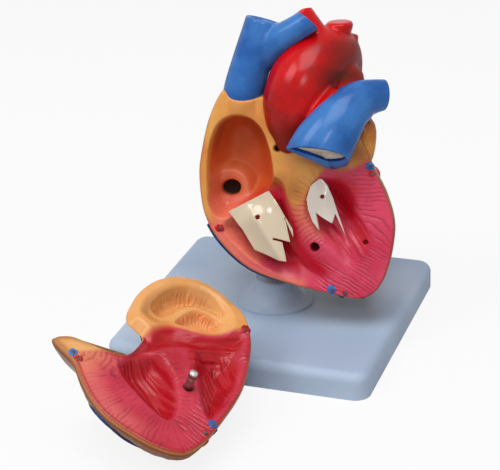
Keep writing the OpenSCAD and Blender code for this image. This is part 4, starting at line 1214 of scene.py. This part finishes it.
tube = {
    "sides": 40,
    "deep": 3.0,
    "wall": 1.2,
    "rightLung": [(40, 14, 60, 6.9), (28, 25, 58, 6.6), (10, 26.5, 56, 6.3),
                  (-8, 25, 54, 6.3), (-18.6, 24, 52.3, 6.3)],
    "rightLungWall": 1.3,
    "stubFrom": -8,
    "stubTo": 11.5,
    "stubSteps": 12,
    "stubShape": [(0, 0.62), (0.5, 0.53), (0.85, 0.49), (1, 0.51)],
}
stubs = {
    "rightLungVein": {"d": 10, "slot": "vessel_red", "node": "right_lung_veins",
                      "ends": [((-14.5, 30.7, 34.5), (-0.8, 0.55, 0.15)),
                               ((-14.5, 30.7, 20.5), (-0.8, 0.55, -0.15))]},
    "leftLungVein": {"d": 10, "slot": "vessel_red", "node": "left_lung_veins",
                     "ends": [((42, 26, 34), (0.25, 0.95, 0.15)),
                              ((44, 26, 21), (0.3, 0.95, -0.15))]},
    "lowerGreatVein": {"d": 15, "slot": "vessel_blue", "node": "lower_great_vein",
                       "ends": [((-11, 24, -4), (-0.1, 0.1, -1))]},
}


# A vessel with a rounded lip and a bore at its far end.
def openTube(name, path, radii, wall, slotName, node):
    blue = slotName == "vessel_blue"
    way = (path[-1] - path[-2]) / np.linalg.norm(path[-1] - path[-2])
    lip = [path[-1] + way * h for h in (0.35, 0.5, 0.35, 0.0, -tube["deep"])]
    size = [radii[-1] - inset for inset in (0.15, wall * 0.5, wall - 0.15, wall, wall)]
    sides, count = tube["sides"], len(path)
    points, faces = sweep(np.vstack([path, lip]), np.concatenate([radii, size]), 1.0, sides)
    out = (np.array(points[(count - 1) * sides:count * sides]) - path[-1]) / radii[-1]
    out = out - np.outer(out @ way, way)
    out = out / np.linalg.norm(out, axis=1, keepdims=True)
    points = points[:count * sides] + [p + r * o for p, r in zip(lip, size) for o in out]
    piece = newPiece(name, points, faces, bluePaint if blue else redPaint)
    piece.data.materials.append(boreShadeBlue if blue else boreShadeRed)
    # The faces inside the bore take the darker paint, a painted shade.
    for f in piece.data.polygons:
        if min(f.vertices) >= (count + 3) * sides:
            f.material_index = 1
    place(piece, atHeart, "heart", slotName, node)


rightLung = openCurve(tube["rightLung"], 8)
openTube("rightLungArtery", rightLung[:, :3], rightLung[:, 3], tube["rightLungWall"],
         "vessel_blue", "right_lung_artery")
for stubName, stub in stubs.items():
    for number, (at, way) in enumerate(stub["ends"]):
        way = np.array(way, float) / np.linalg.norm(way)
        reach = np.linspace(tube["stubFrom"], tube["stubTo"], tube["stubSteps"])
        wide = np.interp(np.linspace(0, 1, tube["stubSteps"]), *zip(*tube["stubShape"]))
        openTube(stubName + str(number + 1), np.array(at, float) + np.outer(reach, way),
                 wide * stub["d"], tube["wall"], stub["slot"], stub["node"])
print("vessels done")

# The left auricle: folded lobes under the lung artery.
auricle = {
    "blobs": [(43, 10, 36, 14), (46.5, 6, 33, 10), (47.4, 5.6, 39, 10.5), (46.8, 6, 45, 11),
              (42, 9, 48, 12.5), (37, 13, 49, 13)],
    "folds": 4,
    "foldStep": 3.6,
    "foldFrom": (50.4, 5, 34),
    "foldTo": (44, 1.6, 35),
    "foldR": (1.9, 1.3),
    "voxel": 0.5,
    "relax": 6,
}
lobeForms = [roundBall(blob[:3], blob[3] / 2) for blob in openCurve(auricle["blobs"], 3)]
for i in range(auricle["folds"]):
    up = np.array([0, 0, auricle["foldStep"] * i])
    lobeForms.append(sweep(np.linspace(auricle["foldFrom"] + up, auricle["foldTo"] + up, 5),
                           np.linspace(*auricle["foldR"], 5)))
lobes = fuse("leftAuricle", lobeForms, auricle["voxel"], auricle["relax"], skinPaint)
place(lobes, atHeart, "heart", "skin_orange", "left_auricle")

# The valve in the lung artery's open end: a disc of three cusps, on the bore's floor.
cusps = {
    "rise": 1.5,
    "dish": 1.1,
    "seams": (30, 150, 270),
    "seamHigh": 0.5,
    "slope": 0.5,
    "thick": 0.8,
    "around": 96,
    "rings": 24,
}


def valveDisc():
    way = np.array(lungTrunk["openWay"]) / np.linalg.norm(lungTrunk["openWay"])
    around, rings = cusps["around"], cusps["rings"]
    loop = evenly(np.array(valveRing), around)
    middle = loop.mean(axis=0)
    points = []
    for k in range(rings + 1):
        r = k / rings
        for j in range(around):
            t = 360 * j / around
            seam = min(abs((t - at + 180) % 360 - 180) for at in cusps["seams"])
            sag = cusps["dish"] * math.sin(math.pi * r) * min(seam / 28, 1) ** 0.7
            ridge = cusps["seamHigh"] * math.exp(-(seam / 4) ** 2) * r
            h = cusps["rise"] - sag - cusps["slope"] * r + ridge
            points.append(middle + (loop[j] - middle) * (r * 1.01) + way * h)
    piece = newPiece("lungValve", points, tubeFaces(rings + 1, around), cuspVinyl)
    editMesh(piece, lambda bm: bmesh.ops.remove_doubles(bm, verts=bm.verts, dist=0.001))
    thick = piece.modifiers.new("thick", "SOLIDIFY")
    thick.thickness = cusps["thick"]
    thick.offset = -1
    applyModifiers(piece)
    place(piece, atHeart, "heart", "valve_white", "lung_valve")


valveDisc()
print("auricle and valve done")

# The two soft flaps, whose outlines were read off the photo.
flaps = {
    "thickness": 1.1,
    "grid": 0.9,
    "rimStep": 0.7,
    "holeR": 0.9,
    "holeSides": 16,
    "clearance": 0.4,  # from the rims to the grid's nearest points
    "bevel": 0.22,
    "bevelAngle": 50,
    "rootSoft": 9,     # how far below its root a flap takes its full form
    "tricuspid": [(-13.9, 6), (4.6, 16.2), (8.4, 11), (12.8, 3.8), (15.9, -1.1), (16.3, -4.8),
                  (12.5, 3.1), (14.9, -7), (7.2, -5), (6.8, -5.5), (7.3, -6), (11.2, -7.1),
                  (13.5, -15.6), (-1.3, -11), (-7, -1.9)],
    "tricuspidHole": (0.1, 4.3),
    "tricuspidRoot": ((-13.9, 6), (4.6, 16.2)),
    "tricuspidFold": ((-5.5, 11.5), (8.5, -9.5)),
    "foldHigh": 5.0,
    "foldWide": 5.0,
    "foldRound": 0.4,
    "foldLower": 0.5,
    "sideLift": 0.05,
    "mitral": [(27.7, 22.35), (23.9, 18.9), (22.2, 13), (22.9, 8.4), (25.2, 2.6), (28.2, -0.9),
               (26.6, 7.3), (29.6, 5.2), (33.8, 2.4), (35, 6.9), (40.2, -4), (35.3, 9.4),
               (33.8, 14), (31.2, 19.8), (28.7, 22.35)],
    "mitralHole": (29.4, 14.4),
    "mitralTop": 22.4,
    "mitralHigh": 2.2,
    "mitralMiddle": (28.2, 0.192),  # at the top, and how far it leans for each mm down
    "mitralWide": 5.0,
    "mitralLower": 0.3,
}


def densify(outline, step):
    out = []
    for a, b in zip(outline, outline[1:] + outline[:1]):
        a, b = np.array(a, float), np.array(b, float)
        n = max(1, int(np.linalg.norm(b - a) / step))
        out += [a + (b - a) * i / n for i in range(n)]
    return np.array(out)


# Drops points without a face and turns the sheet to the front, where it gets its thickness.
def frontSheet(bm):
    bmesh.ops.delete(bm, geom=[v for v in bm.verts if not v.link_faces], context="VERTS")
    bm.normal_update()
    if sum(f.normal.y for f in bm.faces) > 0:
        bmesh.ops.reverse_faces(bm, faces=bm.faces)


def softFlap(name, outline, hole, rise, material, body, node):
    rim = densify(outline, flaps["rimStep"])
    turn = np.linspace(0, 2 * math.pi, flaps["holeSides"] + 1)[:-1]
    holeRim = np.array(hole) + flaps["holeR"] * np.stack([np.cos(turn), np.sin(turn)], axis=1)
    low, high = rim.min(axis=0), rim.max(axis=0)
    step = flaps["grid"]
    gx, gy = np.meshgrid(np.arange(low[0], high[0], step), np.arange(low[1], high[1], step))
    grid = np.stack([gx.ravel(), gy.ravel()], axis=1)
    gap, _ = nearOutline(grid, rim)
    away = np.hypot(grid[:, 0] - hole[0], grid[:, 1] - hole[1])
    clear = flaps["clearance"]
    grid = grid[(gap > clear) & (away > flaps["holeR"] + clear)]
    points = [Vector(p) for p in np.vstack([rim, holeRim, grid])]
    n, m = len(rim), len(holeRim)
    edges = [(i, (i + 1) % n) for i in range(n)] + [(n + i, n + (i + 1) % m) for i in range(m)]
    result = delaunay_2d_cdt(points, edges, [], 2, 1e-4)
    uv = np.array([tuple(v) for v in result[0]])
    centres = np.array([uv[list(f)].mean(axis=0) for f in result[2]])
    inside, _ = nearOutline(centres, rim)
    off = np.hypot(centres[:, 0] - hole[0], centres[:, 1] - hole[1]) > flaps["holeR"] - 0.04
    faces = [tuple(f) for f, a, b in zip(result[2], inside, off) if a > 0 and b]
    y = -pose["faceGap"] - rise(uv)
    piece = newPiece(name, np.stack([uv[:, 0], y, uv[:, 1]], axis=1), faces, material)
    editMesh(piece, frontSheet)
    thick = piece.modifiers.new("thick", "SOLIDIFY")
    thick.thickness = flaps["thickness"]
    thick.offset = 1
    bevel = piece.modifiers.new("bevel", "BEVEL")
    bevel.width = flaps["bevel"]
    bevel.segments = 2
    bevel.limit_method = "ANGLE"
    bevel.angle_limit = math.radians(flaps["bevelAngle"])
    applyModifiers(piece)
    place(piece, atHeart, body, "flap_cream", node)


def lineGap(uv, ends):
    a, b = np.array(ends, float)
    e = (b - a) / np.linalg.norm(b - a)
    rel = uv - a
    return rel[:, 0] * e[1] - rel[:, 1] * e[0]


def tricuspidRise(uv):
    side = lineGap(uv, flaps["tricuspidRoot"])
    fold = lineGap(uv, flaps["tricuspidFold"])
    away = np.sqrt(fold ** 2 + flaps["foldRound"])
    ridge = flaps["foldHigh"] * np.exp(-away / flaps["foldWide"])
    lift = ridge - flaps["foldLower"] + flaps["sideLift"] * np.abs(side)
    return smooth(side / flaps["rootSoft"]) * lift


def mitralRise(uv):
    below = flaps["mitralTop"] - uv[:, 1]
    middle = flaps["mitralMiddle"][0] + flaps["mitralMiddle"][1] * below
    ridge = flaps["mitralHigh"] * np.exp(-((uv[:, 0] - middle) / flaps["mitralWide"]) ** 2)
    return smooth(below / flaps["rootSoft"]) * (ridge - flaps["mitralLower"])


softFlap("tricuspidFlap", flaps["tricuspid"], flaps["tricuspidHole"], tricuspidRise, creamVinyl,
         "tricuspid", "tricuspid_flap")
softFlap("mitralFlap", flaps["mitral"], flaps["mitralHole"], mitralRise, whiteVinyl, "mitral",
         "mitral_flap")
print("flaps done")

# The coronary vessels, laid on the skin. A mark counts along the outline's points, and
# then gives the angle round from the rim (0) to the middle of the back (90).
coronary = {
    "rearArtery": [(4.44, 2), (4.36, 10), (5, 16), (6.2, 18), (7.4, 20), (8.4, 19), (8.9, 12),
                   (8.94, 3)],
    "rearVein": [(4.3, 3), (4.7, 5), (5.2, 6), (5.8, 6.6), (6.4, 8), (7.2, 14), (8.0, 12),
                 (8.3, 3)],
    "wallArtery": [(18.2, 4), (18.6, 26), (20.5, 40), (22.6, 46), (23.8, 40), (23.9, 4)],
    "wallVein": [(30.4, 30), (29.9, 22), (29.5, 20.5), (29.1, 21), (28.7, 23), (28.3, 34),
                 (27.6, 46), (25.5, 48), (23.7, 46), (23.3, 40), (23.2, 5)],
    "rearArteryD": 2.4,
    "rearVeinD": 3.0,
    "wallArteryD": 2.0,
    "wallVeinD": 1.7,
    "stepsPerMark": 3,
    "sides": 16,
    "leastDeep": 1.4,
    "taperAt": [0, 0.15, 0.7, 1],
    "taper": [0.75, 1.0, 0.9, 0.55],
}


def laidVessel(name, spec, shape, sign, material, where, body, slotName, node):
    centre = np.array(spec["centre"], float)
    path = []
    for mark, angle in openCurve(coronary[name], 8):
        s = mark * coronary["stepsPerMark"]
        i = int(math.floor(s))
        p = shape[i % len(shape)] * (1 - s + i) + shape[(i + 1) % len(shape)] * (s - i)
        a = math.radians(angle)
        out = (p - centre) / np.linalg.norm(p - centre)
        q = centre + (p - centre) * (math.cos(a) + spec["swell"] * math.sin(2 * a))
        q = q + out * bulgeOut(spec["bulge"], p[0], a)
        y = spec["depth"] * math.sin(a) ** spec["taper"]
        path.append((q[0], sign * max(y, coronary["leastDeep"]), q[1]))
    along = np.linspace(0, 1, len(path))
    taper = np.interp(along, coronary["taperAt"], coronary["taper"])
    points, faces = sweep(path, coronary[name + "D"] / 2 * taper, 1.0, coronary["sides"])
    place(newPiece(name, points, faces, material), where, body, slotName, node)


rearShape = oneWay(closedCurve(rearHalf["outline"], coronary["stepsPerMark"]))
wallShape = proudOutline(coronary["stepsPerMark"])
laidVessel("rearArtery", rearHalf, rearShape, 1, redPaint, atHeart, "heart", "vessel_red",
           "body_coronary_arteries")
laidVessel("rearVein", rearHalf, rearShape, 1, veinPaint, atHeart, "heart", "vessel_blue",
           "body_coronary_veins")
laidVessel("wallArtery", frontWall, wallShape, -1, redPaint, atWall, "wall", "vessel_red",
           "wall_coronary_arteries")
laidVessel("wallVein", frontWall, wallShape, -1, veinPaint, atWall, "wall", "vessel_blue",
           "wall_coronary_veins")

# The painted vessel ends on both faces, with a magnet in each.
dabs = {
    "around": 40,
    "high": 0.35,
    "ragged": 0.2,
    "seed": 200,
    "magnetR": 0.95,
    "magnetHigh": 0.6,
    "magnetRagged": 0.06,
    "magnetSeed": 220,
    "magnetShift": (0.3, -0.2),
    "profile": ((0.35, 1), (0.62, 0.96), (0.85, 0.8), (0.96, 0.45), (1.0, 0.0), (0.9, -2)),
}


# A low round dab with an uneven edge, closed below the face.
def dab(name, at, radius, height, ragged, seed, material, sign):
    around, profile = dabs["around"], dabs["profile"]
    turn = np.arange(around) * 2 * math.pi / around
    edge = radius * (1 + ragged * (noise2(turn * 2, turn * 0, seed) - 0.5) * 2)
    points = [(at[0], sign * -height, at[1])]
    for share, lift in profile:
        points += [(at[0] + e * share * math.cos(t), -sign * height * lift,
                    at[1] + e * share * math.sin(t)) for e, t in zip(edge, turn)]
    faces = [(0, 1 + i, 1 + (i + 1) % around) for i in range(around)]
    for k in range(len(profile) - 1):
        faces += ringFaces(1 + k * around, 1 + (k + 1) * around, around)
    faces.append(tuple(1 + (len(profile) - 1) * around + i for i in range(around)))
    return newPiece(name, points, faces, material)


def vesselEnds(side, spec, sign, where, body):
    number = 0
    shift = dabs["magnetShift"]
    for kind, paint, slotName, node in (("arteries", redPaint, "vessel_red", "artery_rings"),
                                        ("veins", bluePaint, "vessel_blue", "vein_rings")):
        for u, v, radius in spec[kind]:
            number += 1
            prefix = "body_" if body == "heart" else "wall_"
            ring = dab(side + "Ring" + str(number), (u, v), radius, dabs["high"],
                       dabs["ragged"], dabs["seed"] + number, paint, sign)
            place(ring, where, body, slotName, prefix + node)
            magnet = dab(side + "Magnet" + str(number), (u + shift[0], v + shift[1]),
                         dabs["magnetR"], dabs["magnetHigh"], dabs["magnetRagged"],
                         dabs["magnetSeed"] + number, magnetMetal, sign)
            place(magnet, where, body, "pin_steel", prefix + "magnets")


vesselEnds("rear", rearHalf, 1, atHeart, "heart")
vesselEnds("wall", frontWall, -1, atWall, "wall")

# The locating pin, with a groove and a chamfered end.
pinShape = {
    "sides": 40,
    "profile": [(1.9, -3.0), (1.9, 6.6), (1.75, 6.9), (1.75, 7.3), (1.9, 7.6), (1.9, 9.3),
                (1.45, 9.9), (0.5, 10.05)],
}
pinU, pinV = frontWall["pinHole"]
pinPath = [(pinU, along, pinV) for _, along in pinShape["profile"]]
pinPoints, pinFaces = sweep(pinPath, [r for r, _ in pinShape["profile"]], 1.0,
                            pinShape["sides"])
pin = newPiece("locatingPin", pinPoints, pinFaces, pinSteel)
place(pin, atWall, "wall", "pin_steel", "locating_pin")
print("vessel ends, magnets and pin done")

# The pieces kept from the frame, with their finishes.
kept = {
    "base_plate": standPlastic,
    "pedestal": standPlastic,
    "support_rod": rodPlastic,
    "support_collar": rodPlastic,
    "rod_socket": rodPlastic,
}
for nodeName, material in kept.items():
    mesh = frame["nodes"][nodeName].data
    mesh.materials.clear()
    mesh.materials.append(material)
print("kept nodes painted")

# Floor, light and camera, in metres.
studio = {
    "floorSize": 6.0,
    "floorColour": (0.76, 0.76, 0.77, 1),
    "floorWhite": 0.86,  # how much of the floor's own colour the camera doesn't see
    "white": (1, 1, 1, 1),
    "aim": (0, -0.03, 0.06),
    "lamps": {  # place, size, power
        "keyLamp": ((-0.75, -0.85, 1.25), 0.7, 9.0),
        "fillLamp": ((0.4, -1.05, 0.8), 0.22, 2.0),
        "topLamp": ((0.15, -0.4, 1.35), 0.9, 12.5),
    },
    "worldLight": 0.22,
    "cameraAt": (0.2413, -0.6952, 0.3835),
    "cameraTurn": (20.0, 24.6, -2.2),  # azimuth, elevation, roll
    "lens": 123.7,
    "sensor": 36,
}


def addFloor():
    half = studio["floorSize"] / 2
    mesh = bpy.data.meshes.new("floor")
    mesh.from_pydata([(-half, -half, 0), (half, -half, 0), (half, half, 0), (-half, half, 0)],
                     [], [(0, 1, 2, 3)])
    floor = bpy.data.objects.new("floor", mesh)
    bpy.context.scene.collection.objects.link(floor)
    look = Look("paleFloor")
    look.finish(studio["floorColour"], 0.9)
    seen = look.add("ShaderNodeLightPath").outputs["Is Camera Ray"]
    glow = look.add("ShaderNodeEmission", None, Color=studio["white"])
    blend = look.add("ShaderNodeMixShader", None,
                     i0=look.calc("MULTIPLY", seen, studio["floorWhite"]),
                     i1=look.shader.outputs[0], i2=glow.outputs[0])
    look.feed(look.tree.nodes["Material Output"].inputs["Surface"], blend.outputs[0])
    mesh.materials.append(look.material)
    floor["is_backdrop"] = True


def addLamp(name, at, size, power):
    lamp = bpy.data.lights.new(name, "AREA")
    lamp.energy = power
    lamp.size = size
    thing = bpy.data.objects.new(name, lamp)
    thing.location = at
    way = Vector(studio["aim"]) - Vector(at)
    thing.rotation_euler = way.to_track_quat("-Z", "Y").to_euler()
    bpy.context.scene.collection.objects.link(thing)


# The world lights softly, and is plain white where it is seen or mirrored.
def addWorld():
    world = bpy.data.worlds.new("studio")
    bpy.context.scene.world = world
    world.use_nodes = True
    wiring = Wiring(world.node_tree)
    ground = wiring.tree.nodes["Background"]
    ground.inputs["Color"].default_value = studio["white"]
    rays = wiring.add("ShaderNodeLightPath").outputs
    shown = wiring.calc("MAXIMUM", rays["Is Camera Ray"], rays["Is Glossy Ray"])
    shown = wiring.calc("MAXIMUM", shown, rays["Is Transmission Ray"])
    level = wiring.span(shown, 0.0, 1.0, studio["worldLight"], 1.0)
    wiring.feed(ground.inputs["Strength"], level)


def addCamera():
    azimuth, lift, roll = [math.radians(v) for v in studio["cameraTurn"]]
    forward = Vector((-math.sin(azimuth) * math.cos(lift), math.cos(azimuth) * math.cos(lift),
                      -math.sin(lift)))
    right = Vector((math.cos(azimuth), math.sin(azimuth), 0))
    up = right.cross(forward)
    side = right * math.cos(roll) + up * math.sin(roll)
    top = up * math.cos(roll) - right * math.sin(roll)
    camera = bpy.data.cameras.new("camera")
    camera.lens = studio["lens"]
    camera.sensor_width = studio["sensor"]
    camera.clip_end = 20
    thing = bpy.data.objects.new("camera", camera)
    turn = Matrix((side, top, -forward)).transposed().to_4x4()
    thing.matrix_world = Matrix.Translation(studio["cameraAt"]) @ turn
    bpy.context.scene.collection.objects.link(thing)
    bpy.context.scene.camera = thing


addFloor()
for lampName, lampValues in studio["lamps"].items():
    addLamp(lampName, *lampValues)
addWorld()
addCamera()
bpy.context.scene.view_settings.view_transform = "Standard"
print("stage ready")

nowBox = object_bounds()
repr([[list(map(float, corner)) for corner in box]
                     for box in (cadBox, nowBox)])
